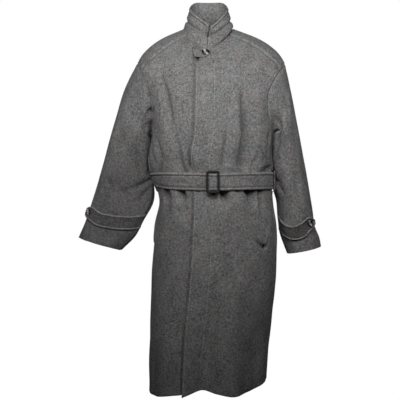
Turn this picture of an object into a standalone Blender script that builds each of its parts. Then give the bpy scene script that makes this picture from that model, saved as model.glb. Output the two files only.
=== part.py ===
"""A long belted overcoat of heavy wool, standing open and hollow as it is worn.

Metres, +Z up, the front towards -Y and the wearer's left at +X.  The origin is the
middle of the neck, level with the points where the shoulder seams reach the collar.
"""

import math

import bmesh
import bpy
import numpy as np
from mathutils import Matrix, Vector

# Cloth, and the gaps between pieces
CLOTH = 0.003
DOUBLED = 0.0042
BELT_CLOTH = 0.0035
SEAM = 0.0003
LIE = 0.0006

# Heights up the wearer's side, and half the width of the belt
HEM = -1.145
BELT = -0.484
BELT_HALF = 0.027
ARMPIT = -0.335
SHOULDER = -0.100
NECK = 0.010

# Sections round the body, from hem to neck.  turn is how far the centre front is swung
# round from straight ahead, in degrees; the drops lower a section at its front and back.
# level, half_width, front, back, centre_x, turn, front_drop, back_drop
BODY = (
    (HEM, 0.191, 0.168, 0.172, -0.006, -13, 0.000, 0.000),
    (-0.970, 0.195, 0.160, 0.166, -0.001, -13, 0.000, 0.000),
    (-0.840, 0.200, 0.156, 0.163, 0.010, -13, 0.000, 0.000),
    (-0.710, 0.200, 0.151, 0.160, 0.017, -12, 0.000, 0.000),
    (-0.625, 0.195, 0.148, 0.155, 0.020, -12, 0.000, 0.000),
    (-0.540, 0.184, 0.143, 0.148, 0.018, -11, 0.000, 0.000),
    (BELT, 0.1900, 0.139, 0.144, 0.010, -10, 0.000, 0.000),
    (-0.440, 0.196, 0.147, 0.150, 0.005, -8, 0.000, 0.000),
    (ARMPIT, 0.193, 0.155, 0.154, 0.004, -4, 0.000, 0.000),
    (-0.215, 0.212, 0.147, 0.152, 0.003, -2, 0.020, 0.010),
    (SHOULDER, 0.237, 0.122, 0.132, 0.003, 0, 0.045, 0.020),
    (-0.058, 0.207, 0.107, 0.116, 0.003, 0, 0.053, 0.012),
    (-0.019, 0.150, 0.083, 0.092, 0.000, 0, 0.061, 0.002),
    (NECK, 0.080, 0.066, 0.066, -0.004, 0, 0.071, -0.013),
)
SQUARENESS = 2.2
DROP_POWER = 1.5

# How far the hem hangs above or below its level, by the angle from straight ahead
# angle, rise
HEM_LINE = (
    (-180, -0.008),
    (-130, -0.018),
    (-90, -0.020),
    (-60, -0.018),
    (-38, -0.008),
    (-28, -0.003),
    (-8, 0.016),
    (8, 0.006),
    (24, -0.004),
    (45, 0.004),
    (66, 0.017),
    (88, 0.031),
    (130, 0.018),
    (180, -0.008),
)
HEM_EASE_TOP = -0.90

# Folds: each runs from one level to another while its angle from the centre front
# changes.  root is the share of its length over which it grows; rise is outwards.
# start, end, start_angle, end_angle, width, rise, root
FOLDS = (
    # the chest, rising from the belt
    (-0.448, -0.110, -22, -60, 0.014, -0.008, 0.25),
    (-0.448, -0.330, -53, -66, 0.014, -0.008, 0.25),
    (-0.448, -0.180, 41, 42, 0.013, -0.012, 0.20),
    (-0.448, -0.300, 20, 21, 0.014, -0.006, 0.30),
    (-0.448, -0.330, 74, 84, 0.016, -0.009, 0.20),
    (-0.448, -0.250, -38, -52, 0.020, 0.005, 0.35),
    (-0.448, -0.230, 31, 31, 0.018, 0.004, 0.35),
    (-0.448, -0.230, 56, 60, 0.020, 0.006, 0.35),
    # the gathers under the belt
    (-0.520, -0.600, -48, -50, 0.014, -0.007, 0.20),
    (-0.520, -0.600, -29, -31, 0.014, -0.006, 0.20),
    (-0.520, -0.590, 24, 24, 0.016, -0.006, 0.20),
    (-0.520, -0.580, 52, 52, 0.014, -0.006, 0.20),
    (-0.520, -0.640, -39, -41, 0.016, 0.004, 0.30),
    (-0.520, -0.650, 38, 40, 0.022, 0.005, 0.30),
    # the skirt, spreading to the hem
    (HEM, -0.700, 36, 33, 0.040, 0.010, 0.0),
    (HEM, -0.760, 8, 20, 0.034, -0.010, 0.0),
    (HEM, -0.840, -14, -15, 0.022, 0.004, 0.0),
    (HEM, -0.860, -38, -36, 0.034, 0.006, 0.0),
    (HEM, -0.860, 66, 64, 0.034, -0.007, 0.0),
    # the back: plain gathers and flutes
    (-0.448, -0.230, 150, 146, 0.022, -0.008, 0.25),
    (-0.448, -0.230, 206, 212, 0.022, -0.008, 0.25),
    (-0.520, -0.680, 152, 150, 0.022, -0.007, 0.20),
    (-0.520, -0.680, 180, 180, 0.022, -0.007, 0.20),
    (-0.520, -0.680, 208, 210, 0.022, -0.007, 0.20),
    (HEM, -0.740, 138, 142, 0.046, 0.011, 0.0),
    (HEM, -0.740, 176, 178, 0.046, -0.010, 0.0),
    (HEM, -0.740, 216, 212, 0.046, 0.011, 0.0),
)
FOLD_FADE = 0.65
NORMAL_STEP = 1e-4
HALVINGS = 40

# The fronts overlap this far past the centre, the wearer's left one on top
OVERLAP = 0.040
UNDERLAP_EASE = 0.016
FRONT_LIE = 0.001
OVERLAP_COLUMNS = 5
CORNER_DROP = 0.006
NECK_CUT = 0.012
NECK_CUT_HEIGHT = 0.05
NECK_CUT_POWER = 3

# Armholes and the seams that run from them, in degrees round from the centre front
SIDE_SEAM = 90
ARMHOLE_FRONT = 20
ARMHOLE_BACK = 22
ARMHOLE_REACH = 0.20
SHOULDER_SEAM_NECK = 72

# Places round an armhole that panels and sleeves share, in degrees from its top over the
# back: the shoulder seam, round to the back sleeve seam, and on by the armpit to the front
SHOULDER_STATION = -38
BACK_SEAM_STATION = 105
ARMPIT_STATION = 180
FRONT_SEAM_STATION = 230
STATIONS = (
    -130, -114, -98, -82, -66, -52, SHOULDER_STATION, -20, 0, 20, 40, 62, 84,
    BACK_SEAM_STATION, 122, 140, 160, ARMPIT_STATION, 200, 215, FRONT_SEAM_STATION,
)

# Rows up a panel, and columns across it
SKIRT_LEVELS = (
    HEM, -1.080, -1.000, -0.915, -0.835, -0.765, -0.705, -0.655, -0.615, -0.583, -0.558,
    -0.536, BELT - BELT_HALF, BELT + BELT_HALF, -0.440, -0.418, -0.385, ARMPIT,
)
SHOULDER_ROWS = 5
FRONT_COLUMNS = 20
BACK_COLUMNS = 24
YOKE_POWER = 8

# Sleeve sections down the arm.  The outer and inner points are its edges seen from the
# front, x outwards from the middle of the coat; the depth comes from the girth.
# outer_x, outer_z, inner_x, inner_z, centre_y, girth
SLEEVES = {
    "left": (
        (0.260, -0.176, 0.201, -0.345, 0.008, 0.545),
        (0.279, -0.273, 0.200, -0.358, 0.014, 0.472),
        (0.300, -0.380, 0.196, -0.420, 0.028, 0.440),
        (0.320, -0.475, 0.200, -0.490, 0.036, 0.415),
        (0.331, -0.540, 0.211, -0.548, 0.030, 0.405),
        (0.338, -0.592, 0.218, -0.605, 0.022, 0.398),
        (0.340, -0.624, 0.226, -0.643, 0.016, 0.392),
        (0.356, -0.668, 0.238, -0.684, 0.010, 0.388),
        (0.359, -0.696, 0.250, -0.719, 0.006, 0.384),
    ),
    "right": (
        (0.274, -0.176, 0.197, -0.345, 0.008, 0.530),
        (0.305, -0.273, 0.196, -0.360, 0.020, 0.455),
        (0.330, -0.351, 0.190, -0.405, 0.038, 0.432),
        (0.353, -0.429, 0.184, -0.472, 0.052, 0.418),
        (0.376, -0.507, 0.186, -0.548, 0.052, 0.412),
        (0.397, -0.575, 0.219, -0.614, 0.044, 0.402),
        (0.411, -0.619, 0.243, -0.662, 0.036, 0.396),
        (0.428, -0.668, 0.288, -0.710, 0.028, 0.388),
    ),
}
SIDE_SIGN = {"left": 1, "right": -1}
SLEEVE_CLEAR = 0.002
SLEEVE_HEAD = 0.05
SLEEVE_LEAST_REACH = 0.03
SLEEVE_MIDDLE_X = 0.215
SLEEVE_ROWS = 17
SLEEVE_ROW_POWER = 1.2

# Collar sections, each from its lower edge up.  vee is how straight the edge runs down
# to the front: 0 is a round neckline, 1 a vee.  round is how soon it falls from the back
# to the sides: a small one keeps it level almost to the side.
# half_width, front, back, side_z, front_z, back_z, vee, round
COLLARS = {
    "collar_stand": (
        (0.0800, 0.0660, 0.0660, 0.0104, -0.0606, 0.0234, 0.0, 1.5),
        (0.0785, 0.0675, 0.0655, 0.0190, -0.0400, 0.0430, 0.1, 1.5),
        (0.0755, 0.0650, 0.0640, 0.0270, -0.0180, 0.0620, 0.25, 1.5),
    ),
    "collar_leaf": (
        (0.0705, 0.0598, 0.0588, 0.0190, -0.0260, 0.0540, 0.25, 1.5),
        (0.0690, 0.0605, 0.0590, 0.0500, -0.0120, 0.0800, 0.45, 1.1),
        (0.0660, 0.0640, 0.0570, 0.0860, 0.0070, 0.1060, 0.62, 0.7),
    ),
}
COLLAR_CENTRE_X = -0.004
COLLAR_END = 0.0012
COLLAR_STEPS = 32

# Belt: it starts at the bar of the buckle, goes once round by the wearer's left, passes
# over the bar and ends at the wearer's left side
BELT_STEPS = 72
BELT_END_STEPS = 14
BAR_STEPS = 8
START_STEPS = 3
BELT_START = 0.0024
BELT_END_ANGLE = 78
BAR_RISE = 0.0032
OVER_BAR = 0.0076
BAR_EASE = 0.026

# Buckle
BUCKLE_X = 0.007
BUCKLE_WIDTH = 0.042
BUCKLE_HEIGHT = 0.071
BUCKLE_BAR = 0.0072
BUCKLE_CORNER = 0.008
BUCKLE_BACK = 0.0098
BUCKLE_THICK = 0.0052
BAR_HALF = 0.0018
BAR_OUT = 0.0053
CORNER_STEPS = 4

# Belt loops
LOOP_HALF_WIDTH = 0.006
LOOP_CLOTH = 0.0025
LOOP_REACH = 0.042
LOOP_SHOULDER = 0.031
LOOP_FOOT = 0.036

# Cuff straps: how far up from the cuff their middle lies, by the angle round the sleeve
# angle, up
STRAPS = {
    "left": (
        (-160, 0.092), (-140, 0.078), (-120, 0.064), (-98, 0.061), (-80, 0.068), (-62, 0.080), (-28, 0.086),
    ),
    "right": (
        (-160, 0.104), (-140, 0.097), (-115, 0.087), (-90, 0.081), (-60, 0.080), (-30, 0.093), (0, 0.098),
    ),
}
STRAP_HALF = 0.0235
STRAP_TIP = (1.0, 0.85, 0.30)
STRAP_ROWS = 3
STRAP_LIE = 0.0013
# Where each strap ends and where its button sits, in degrees round the sleeve
STRAP_END = {"left": -28, "right": 0}
STRAP_BUTTON = {"left": -52, "right": -20}

# Pocket welts: the slanting edge that the hand goes in by, and the width of the welt
WELT_TOP = -0.548
WELT_BOTTOM = -0.690
WELT_TOP_ANGLE = 84
WELT_BOTTOM_ANGLE = 67
WELT_WIDTH = 0.044
WELT_GAPE = 0.004
WELT_LIE = 0.0011
WELT_GAPE_GROW = 0.62
WELT_GAPE_FADE = 0.2
WELT_ROWS = 7
WELT_SPAN = 3

# Throat tab, measured from the centre front, and the buttons
TAB_START = -0.048
TAB_END = -0.004
TAB_LOW_END = -0.036
TAB_HIGH_END = -0.022
TAB_HALF = 0.016
TAB_STEPS = 6
TAB_TIP = 0.6
TAB_BUTTON_AT = -0.016
BUTTON_STEPS = 20
NECK_BUTTON_RADIUS = 0.0125
CUFF_BUTTON_RADIUS = 0.0105
BUTTON_THICK = 0.004
# The outline of a button, as shares of its radius and of its thickness
# radius, height
BUTTON_OUTLINE = (
    (0.0, 0.0),
    (0.86, 0.0),
    (1.0, 0.3),
    (1.0, 0.7),
    (0.84, 1.0),
    (0.66, 0.75),
    (0.0, 0.70),
)

MATERIALS = {
    "wool": ((0.085, 0.085, 0.088, 1.0), 0.95),
    "horn": ((0.012, 0.010, 0.009, 1.0), 0.22),
    "leather": ((0.010, 0.008, 0.007, 1.0), 0.45),
}


def smooth_through(knots, values, at):
    """Read values at new places from a smooth curve through the knots."""
    knots = np.asarray(knots, float)
    values = np.asarray(values, float)
    at = np.asarray(at, float)
    tangents = np.gradient(values, knots, axis=0)
    i = np.clip(np.searchsorted(knots, at, side="right") - 1, 0, len(knots) - 2)
    extra = (1,) * (values.ndim - 1)
    step = (knots[i + 1] - knots[i]).reshape(at.shape + extra)
    t = (at - knots[i]).reshape(at.shape + extra) / step
    start, end = values[i], values[i + 1]
    leave, arrive = tangents[i] * step, tangents[i + 1] * step
    rest = 1 - t
    return (
        (1 + 2 * t) * rest**2 * start
        + t * rest**2 * leave
        + t**2 * (3 - 2 * t) * end
        - t**2 * rest * arrive
    )


def ease(t):
    """Go from 0 to 1 with no corner at either end."""
    t = np.clip(t, 0.0, 1.0)
    return t * t * (3 - 2 * t)


def ring_reach(angle, half_width, front, back):
    """Distance from the middle of a section to its edge; angle 0 is straight ahead."""
    across = np.abs(np.sin(angle))
    along = np.abs(np.cos(angle))
    depth = np.where(np.cos(angle) > 0, front, back)
    total = (across / half_width) ** SQUARENESS + (along / depth) ** SQUARENESS
    return total ** (-1 / SQUARENESS)


def fold_rise(psi, level, reach):
    """How far the folds lift the cloth at a place."""
    total = np.zeros(np.shape(reach))
    for start, end, start_angle, end_angle, width, rise, root in FOLDS:
        t = (level - start) / (end - start)
        middle = np.radians(start_angle + (end_angle - start_angle) * np.clip(t, 0, 1))
        away = (psi - middle + math.pi) % math.tau - math.pi
        grow = ease(t / root) if root else 1.0
        fade = ease((1 - t) / FOLD_FADE) * (t < 1)
        total = total + rise * grow * fade * np.exp(-((away * reach / width) ** 2))
    return total


def body_section(level):
    """The columns of BODY after the level itself, one array each."""
    table = np.array(BODY)
    found = smooth_through(table[:, 0], table[:, 1:], level)
    return np.moveaxis(found, -1, 0)


def body_point(psi, level):
    """A point of the coat's outer face.  psi runs round from the centre front."""
    psi, level = np.broadcast_arrays(np.asarray(psi, float), np.asarray(level, float))
    half_width, front, back, centre_x, turn, front_drop, back_drop = body_section(level)
    angle = psi + np.radians(turn)
    reach = ring_reach(angle, half_width, front, back)
    reach = reach + fold_rise(psi, level, reach)
    ahead = np.cos(angle)
    drop = np.where(ahead > 0, front_drop, back_drop) * np.abs(ahead) ** DROP_POWER
    degrees = (np.degrees(angle) + 180) % 360 - 180
    hem = np.array(HEM_LINE)
    hang = smooth_through(hem[:, 0], hem[:, 1], degrees)
    hang = hang * ease((HEM_EASE_TOP - level) / (HEM_EASE_TOP - HEM))
    return np.stack(
        [centre_x + reach * np.sin(angle), -reach * ahead, level - drop + hang], axis=-1
    )


def unit(vectors):
    return vectors / np.linalg.norm(vectors, axis=-1, keepdims=True)


def normals_of(surface, first, second, small=NORMAL_STEP):
    """Unit normals of a surface from points a little to each side."""
    along = surface(first + small, second) - surface(first - small, second)
    up = surface(first, second + small) - surface(first, second - small)
    return unit(np.cross(along, up))


def on_body(psi, level, out=0.0):
    """A point standing off the coat's outer face by the distance out."""
    psi, level = np.broadcast_arrays(np.asarray(psi, float), np.asarray(level, float))
    outward = normals_of(body_point, psi, level)
    return body_point(psi, level) + np.asarray(out)[..., None] * outward


def material(name):
    """One plain material of the table."""
    made = bpy.data.materials.get(name)
    if made is None:
        colour, roughness = MATERIALS[name]
        made = bpy.data.materials.new(name)
        made.use_nodes = True
        shader = made.node_tree.nodes["Principled BSDF"]
        shader.inputs["Base Color"].default_value = colour
        shader.inputs["Roughness"].default_value = roughness
        shader.inputs["Metallic"].default_value = 0.0
    return made


def add_object(name, points, faces, cloth="wool"):
    """A named object from points and faces, its faces turned outwards."""
    mesh = bpy.data.meshes.new(name)
    mesh.from_pydata([tuple(p) for p in points], [], faces)
    work = bmesh.new()
    work.from_mesh(mesh)
    bmesh.ops.recalc_face_normals(work, faces=work.faces)
    work.to_mesh(mesh)
    work.free()
    mesh.materials.append(material(cloth))
    made = bpy.data.objects.new(name, mesh)
    bpy.context.collection.objects.link(made)
    return made


def add_wall(name, outer, inner):
    """A wall of cloth between two grids of points, closed all round its edges."""
    rows, columns = outer.shape[:2]
    points = np.concatenate([outer.reshape(-1, 3), inner.reshape(-1, 3)])
    index = np.arange(rows * columns).reshape(rows, columns)
    inside = index + rows * columns
    faces = []
    for r in range(rows - 1):
        for c in range(columns - 1):
            faces.append((index[r, c], index[r, c + 1], index[r + 1, c + 1], index[r + 1, c]))
            faces.append((inside[r, c], inside[r + 1, c], inside[r + 1, c + 1], inside[r, c + 1]))
    edge = [(r, 0) for r in range(rows)]
    edge += [(rows - 1, c) for c in range(1, columns)]
    edge += [(r, columns - 1) for r in range(rows - 2, -1, -1)]
    edge += [(0, c) for c in range(columns - 2, 0, -1)]
    for here, there in zip(edge, edge[1:] + edge[:1]):
        faces.append((index[here], index[there], inside[there], inside[here]))
    return add_object(name, points, [tuple(int(i) for i in face) for face in faces])


def armhole(tau, spread=0.0):
    """Angle and level round an armhole; tau runs from its top over the back."""
    swing = np.where(np.sin(tau) > 0, ARMHOLE_BACK, ARMHOLE_FRONT)
    middle = (SHOULDER + ARMPIT) / 2
    half = (SHOULDER - ARMPIT) / 2
    psi = math.pi / 2 + (np.radians(swing) + spread / ARMHOLE_REACH) * np.sin(tau)
    return psi, middle + (half + spread) * np.cos(tau)


def outer_edge(behind):
    """Angle and level up a panel's outer edge: side seam, armhole, shoulder seam."""
    gap = SEAM / 2 / ARMHOLE_REACH
    gap = gap if behind else -gap
    skirt = np.array(SKIRT_LEVELS[:-1])
    from_top = [s for s in STATIONS if s <= ARMPIT_STATION]
    if behind:
        stations = [s for s in reversed(from_top) if s >= SHOULDER_STATION]
    else:
        stations = [s for s in STATIONS if ARMPIT_STATION <= s < FRONT_SEAM_STATION]
        stations += [s + 360 for s in STATIONS if s <= SHOULDER_STATION]
    psi_hole, level_hole = armhole(np.radians(stations), SEAM)
    up = np.linspace(0, 1, SHOULDER_ROWS + 1)[1:]
    neck = math.radians(SHOULDER_SEAM_NECK)
    psi_shoulder = psi_hole[-1] + (neck - psi_hole[-1]) * up
    level_shoulder = level_hole[-1] + (NECK - level_hole[-1]) * up
    psi_hole[0] = psi_hole[0] + gap
    psi = np.concatenate(
        [np.full(len(skirt), math.radians(SIDE_SEAM)) + gap, psi_hole, psi_shoulder + gap]
    )
    return psi, np.concatenate([skirt, level_hole, level_shoulder])


def edge_angle(distance, level):
    """The angle round from the centre front of a place that far from it."""
    front = body_section(level)[1]
    return np.arcsin(distance / front)


def front_grid(left):
    """Angles and levels of a front panel, from its free edge to its outer edge."""
    psi_outer, level_outer = outer_edge(behind=False)
    edge = edge_angle(OVERLAP, level_outer)[:, None]
    overlap = np.linspace(-1, 1, OVERLAP_COLUMNS + 1)
    rest = np.linspace(0, 1, FRONT_COLUMNS + 1)[1:]
    psi = np.concatenate([edge * overlap, edge + (psi_outer[:, None] - edge) * rest], axis=1)
    share = (psi - psi[:, :1]) / (psi[:, -1:] - psi[:, :1])
    near_edge = (1 - share) ** NECK_CUT_POWER
    high = ease((level_outer - NECK + NECK_CUT_HEIGHT) / NECK_CUT_HEIGHT)
    low = ease((HEM_EASE_TOP - level_outer) / (HEM_EASE_TOP - HEM))
    cut = NECK_CUT * high[:, None] + CORNER_DROP * (1 if left else -1) * low[:, None]
    level = level_outer[:, None] - cut * near_edge
    return psi, level


def make_fronts():
    """The two fronts; the right one goes under the left one at the centre."""
    psi, level = front_grid(left=True)
    add_wall("front_left", on_body(psi, level), on_body(psi, level, np.full(psi.shape, -CLOTH)))
    psi, level = front_grid(left=False)
    psi = -psi
    distance = np.sin(np.clip(psi, -1, 1)) * body_section(level)[1]
    under = ease((distance + OVERLAP + UNDERLAP_EASE) / UNDERLAP_EASE)
    depth = (CLOTH + FRONT_LIE) * under
    add_wall("front_right", on_body(psi, level, -depth), on_body(psi, level, -depth - CLOTH))


def make_back():
    """One back panel, up over the shoulders to the seams in front of them."""
    psi_outer, level_outer = outer_edge(behind=True)
    highest = int(np.argmax(level_outer[:-SHOULDER_ROWS]))
    middle = level_outer.copy()
    middle[highest:] = np.linspace(middle[highest], NECK, len(middle) - highest)
    across = np.linspace(-1, 1, BACK_COLUMNS + 1)
    psi = math.pi + (math.pi - psi_outer)[:, None] * across
    level = middle[:, None] + (level_outer - middle)[:, None] * np.abs(across) ** YOKE_POWER
    add_wall("back", on_body(psi, level), on_body(psi, level, np.full(psi.shape, -CLOTH)))


def half_depth(girth, half_width):
    """The second half-axis of ellipses of that girth and first half-axis."""
    low = np.zeros(len(girth))
    high = girth / 4
    for _ in range(HALVINGS):
        depth = (low + high) / 2
        total = half_width + depth
        root = np.sqrt((3 * half_width + depth) * (half_width + 3 * depth))
        long_enough = math.pi * (3 * total - root) > girth
        high = np.where(long_enough, depth, high)
        low = np.where(long_enough, low, depth)
    return depth


def clear_of_body(points):
    """Push points that would lie in the body or the belt out to its side."""
    x, y, z = np.moveaxis(points, -1, 0)
    level = np.clip(z, HEM, ARMPIT)
    half_width, front, back, centre_x, *_ = body_section(level)
    angle = np.arctan2(x - centre_x, -y)
    belt = 2 * (BELT_CLOTH + LIE) * ease((BELT_HALF * 2 - np.abs(z - BELT)) / BELT_HALF)
    least = ring_reach(angle, half_width, front, back) + SLEEVE_CLEAR + belt
    reach = np.hypot(x - centre_x, y)
    pushed = np.maximum(reach, least)
    below = z < ARMPIT
    x = np.where(below, centre_x + np.sin(angle) * pushed, x)
    y = np.where(below, -np.cos(angle) * pushed, y)
    return np.stack([x, y, z], axis=-1)


def armhole_middle(side):
    return np.array([SIDE_SIGN[side] * SLEEVE_MIDDLE_X, 0.0, (SHOULDER + ARMPIT) / 2])


def sleeve_sections(side, tau):
    """Points at each angle tau of the armhole and of every section down a sleeve."""
    sign = SIDE_SIGN[side]
    outer_x, outer_z, inner_x, inner_z, centre_y, girth = np.array(SLEEVES[side]).T
    outer = np.stack([sign * outer_x, centre_y, outer_z], axis=-1)
    inner = np.stack([sign * inner_x, centre_y, inner_z], axis=-1)
    half = np.linalg.norm(outer - inner, axis=1) / 2
    depth = half_depth(girth, half)
    middle = (outer + inner) / 2
    towards = (outer - inner) / 2
    rings = middle[:, None] + towards[:, None] * np.cos(tau)[None, :, None]
    rings[:, :, 1] += depth[:, None] * np.sin(tau)
    psi, level = armhole(tau)
    hole = body_point(sign * psi, level)
    centres = np.concatenate([[armhole_middle(side)], middle])
    along = np.concatenate([[0], np.cumsum(np.linalg.norm(np.diff(centres, axis=0), axis=1))])
    return along, np.concatenate([hole[None], rings])


def sleeve_length(side):
    along, _ = sleeve_sections(side, np.array([0.0]))
    return along[-1]


def sleeve_points(side, tau, down):
    """A grid of points on a sleeve's outer face: rows down it, columns round it."""
    along, sections = sleeve_sections(side, tau)
    points = smooth_through(along, sections, down)
    pushed = clear_of_body(points)
    return points + (pushed - points) * ease(down / SLEEVE_HEAD)[:, None, None]


def sleeve_normals(side, tau, down, small=NORMAL_STEP):
    """Outward normals of a sleeve; at the armhole they follow the body's edge."""
    sign = SIDE_SIGN[side]
    round_it = sleeve_points(side, tau + small, down) - sleeve_points(side, tau - small, down)
    down_it = sleeve_points(side, tau, down + small) - sleeve_points(side, tau, down - small)
    normals = unit(np.cross(round_it, down_it)) * -sign
    psi, level = armhole(tau)
    hole = body_point(sign * psi, level)
    body = normals_of(body_point, sign * psi, level)
    from_middle = hole - armhole_middle(side)
    from_middle[:, 0] = 0.0
    top = np.clip(np.cos(tau), 0, 1)[:, None]
    at_hole = unit(unit(from_middle) * (1 - top) + body * top)
    blend = ease(down / SLEEVE_HEAD)[:, None, None]
    return unit(at_hole[None] * (1 - blend) + normals * blend)


def sleeve_rows(side):
    """Distances down a sleeve, closer together at the armhole."""
    return sleeve_length(side) * np.linspace(0, 1, SLEEVE_ROWS) ** SLEEVE_ROW_POWER


def make_sleeve(side):
    """The top and under sleeve of one arm."""
    gap = SEAM / 2 / SLEEVE_LEAST_REACH
    spans = {
        "top": [s for s in STATIONS if s <= BACK_SEAM_STATION],
        "under": [s for s in STATIONS if s >= BACK_SEAM_STATION],
    }
    down = sleeve_rows(side)
    for part, stations in spans.items():
        tau = np.radians(stations)
        tau[0] += gap
        tau[-1] -= gap
        outer = sleeve_points(side, tau, down)
        inner = outer - CLOTH * sleeve_normals(side, tau, down)
        add_wall(f"sleeve_{side}_{part}", outer, inner)


def make_cuff_strap(side):
    """A strap from the inner side of the sleeve to a point held by a button."""
    stations = [s - 360 for s in STATIONS if ARMPIT_STATION < s < FRONT_SEAM_STATION]
    stations += [s for s in STATIONS if s < STRAP_END[side]]
    stations += [STRAP_END[side]]
    tau = np.radians(stations)
    line = np.array(STRAPS[side])
    up = smooth_through(line[:, 0], line[:, 1], np.degrees(tau))
    half = np.full(len(tau), STRAP_HALF)
    half[-len(STRAP_TIP):] *= STRAP_TIP
    length = sleeve_length(side)
    outer = []
    inner = []
    for across in np.linspace(-1, 1, STRAP_ROWS):
        down = length - up - across * half
        row = [sleeve_points(side, tau[i : i + 1], down[i : i + 1])[0, 0] for i in range(len(tau))]
        out = [sleeve_normals(side, tau[i : i + 1], down[i : i + 1])[0, 0] for i in range(len(tau))]
        inner.append(np.array(row) + STRAP_LIE * np.array(out))
        outer.append(np.array(row) + (STRAP_LIE + DOUBLED) * np.array(out))
    add_wall(f"cuff_strap_{side}", np.array(outer), np.array(inner))
    spot = stations.index(STRAP_BUTTON[side])
    middle = outer[STRAP_ROWS // 2]
    place = middle[spot]
    along = unit(middle[spot + 1] - middle[spot - 1])
    across = unit(outer[-1][spot] - outer[0][spot])
    facing = np.cross(along, across)
    facing = facing * np.sign(np.dot(facing, np.array(out[spot])))
    hollow = max(np.dot(row[spot] - place, facing) for row in outer)
    lift = hollow * CUFF_BUTTON_RADIUS / half[spot]
    make_button(f"cuff_button_{side}", place + lift * facing, facing, CUFF_BUTTON_RADIUS)


def make_button(name, place, facing, radius):
    """A turned button with a raised rim, lying on the cloth at a place."""
    work = bmesh.new()
    points = [
        work.verts.new((share * radius, 0.0, height * BUTTON_THICK))
        for share, height in BUTTON_OUTLINE
    ]
    edges = [work.edges.new(pair) for pair in zip(points, points[1:])]
    bmesh.ops.spin(
        work,
        geom=points + edges,
        cent=(0, 0, 0),
        axis=(0, 0, 1),
        angle=math.tau,
        steps=BUTTON_STEPS,
        use_merge=True,
    )
    bmesh.ops.remove_doubles(work, verts=work.verts, dist=1e-6)
    bmesh.ops.recalc_face_normals(work, faces=work.faces)
    mesh = bpy.data.meshes.new(name)
    work.to_mesh(mesh)
    work.free()
    mesh.materials.append(material("horn"))
    made = bpy.data.objects.new(name, mesh)
    facing = Vector(facing)
    turn = facing.to_track_quat("Z", "Y").to_matrix().to_4x4()
    made.matrix_world = Matrix.Translation(Vector(place) + facing * LIE) @ turn
    bpy.context.collection.objects.link(made)


def collar_points(name, angle):
    """Points round every section of one band of the collar."""
    rows = []
    for half_width, front, back, side_z, front_z, back_z, vee, back_round in COLLARS[name]:
        reach = ring_reach(angle, half_width, front, back)
        ahead = np.cos(angle)
        round_neck = 1 - np.abs(ahead) ** DROP_POWER
        share = vee * np.abs(np.sin(angle)) + (1 - vee) * round_neck
        to_front = front_z + (side_z - front_z) * share
        to_back = side_z + (back_z - side_z) * np.abs(ahead) ** back_round
        z = np.where(ahead > 0, to_front, to_back)
        rows.append(
            np.stack([COLLAR_CENTRE_X + reach * np.sin(angle), -reach * ahead, z], axis=-1)
        )
    return np.array(rows)


def make_collar():
    """The stand and the leaf, turned up, their ends meeting at the centre front."""
    for name in COLLARS:
        end = COLLAR_END / COLLARS[name][0][1]
        angle = np.linspace(end, math.tau - end, COLLAR_STEPS + 1)
        outer = collar_points(name, angle)
        inward = np.stack([-np.sin(angle), np.cos(angle), np.zeros(len(angle))], axis=-1)
        add_wall(name, outer, outer + DOUBLED * inward)


def belt_height(run):
    """How far the belt's inner face stands off the coat, by its run from the bar."""
    full = math.tau * body_section(BELT)[1]
    second_layer = LIE + BELT_CLOTH + LIE
    start = LIE + (BAR_RISE - LIE) * (1 - ease(run / BAR_EASE))
    over = LIE + (OVER_BAR - LIE) * ease((run - full + BAR_EASE) / BAR_EASE)
    past = second_layer + (OVER_BAR - second_layer) * (1 - ease((run - full) / BAR_EASE))
    return np.where(run > full, past, np.where(run > full / 2, over, start))


def make_belt():
    """The belt, wound once round and on over itself to its free end."""
    front = float(body_section(BELT)[1])
    run_end = math.tau * front + math.radians(BELT_END_ANGLE) * front
    near_bar = np.linspace(BELT_START, BAR_EASE, START_STEPS + 1)
    full = math.tau * front
    over_bar = full + np.linspace(-BAR_EASE, BAR_EASE, BAR_STEPS + 1)
    run = np.concatenate(
        [
            near_bar,
            np.linspace(BAR_EASE, full - BAR_EASE, BELT_STEPS + 1)[1:-1],
            over_bar,
            np.linspace(full + BAR_EASE, run_end, BELT_END_STEPS + 1)[1:],
        ]
    )
    height = belt_height(run)
    belt_middle = float(body_section(BELT)[3])
    bar = math.asin((BUCKLE_X - belt_middle) / front)
    angle = bar + run / front
    outer = []
    inner = []
    for offset in (-BELT_HALF, BELT_HALF):
        level = np.full(len(run), BELT + offset)
        sideways = belt_middle - body_section(level)[3]
        psi = angle - np.radians(body_section(level)[4]) + sideways * np.cos(angle) / front
        inner.append(on_body(psi, level, height))
        outer.append(on_body(psi, level, height + BELT_CLOTH))
    add_wall("belt", np.array(outer), np.array(inner))


def rounded_outline(half_width, half_height, corner):
    """Points round a rectangle with rounded corners."""
    points = []
    for quarter, (sx, sz) in enumerate(((1, 1), (-1, 1), (-1, -1), (1, -1))):
        for step in range(CORNER_STEPS + 1):
            angle = math.pi / 2 * (quarter + step / CORNER_STEPS)
            points.append(
                (
                    sx * (half_width - corner) + corner * math.cos(angle),
                    sz * (half_height - corner) + corner * math.sin(angle),
                )
            )
    return points


def add_box(name, low, high, cloth):
    """A plain box between two corners."""
    corners = [(x, y, z) for x in (low[0], high[0]) for y in (low[1], high[1]) for z in (low[2], high[2])]
    faces = [(0, 1, 3, 2), (4, 6, 7, 5), (0, 4, 5, 1), (2, 3, 7, 6), (0, 2, 6, 4), (1, 5, 7, 3)]
    return add_object(name, corners, faces, cloth)


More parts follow.
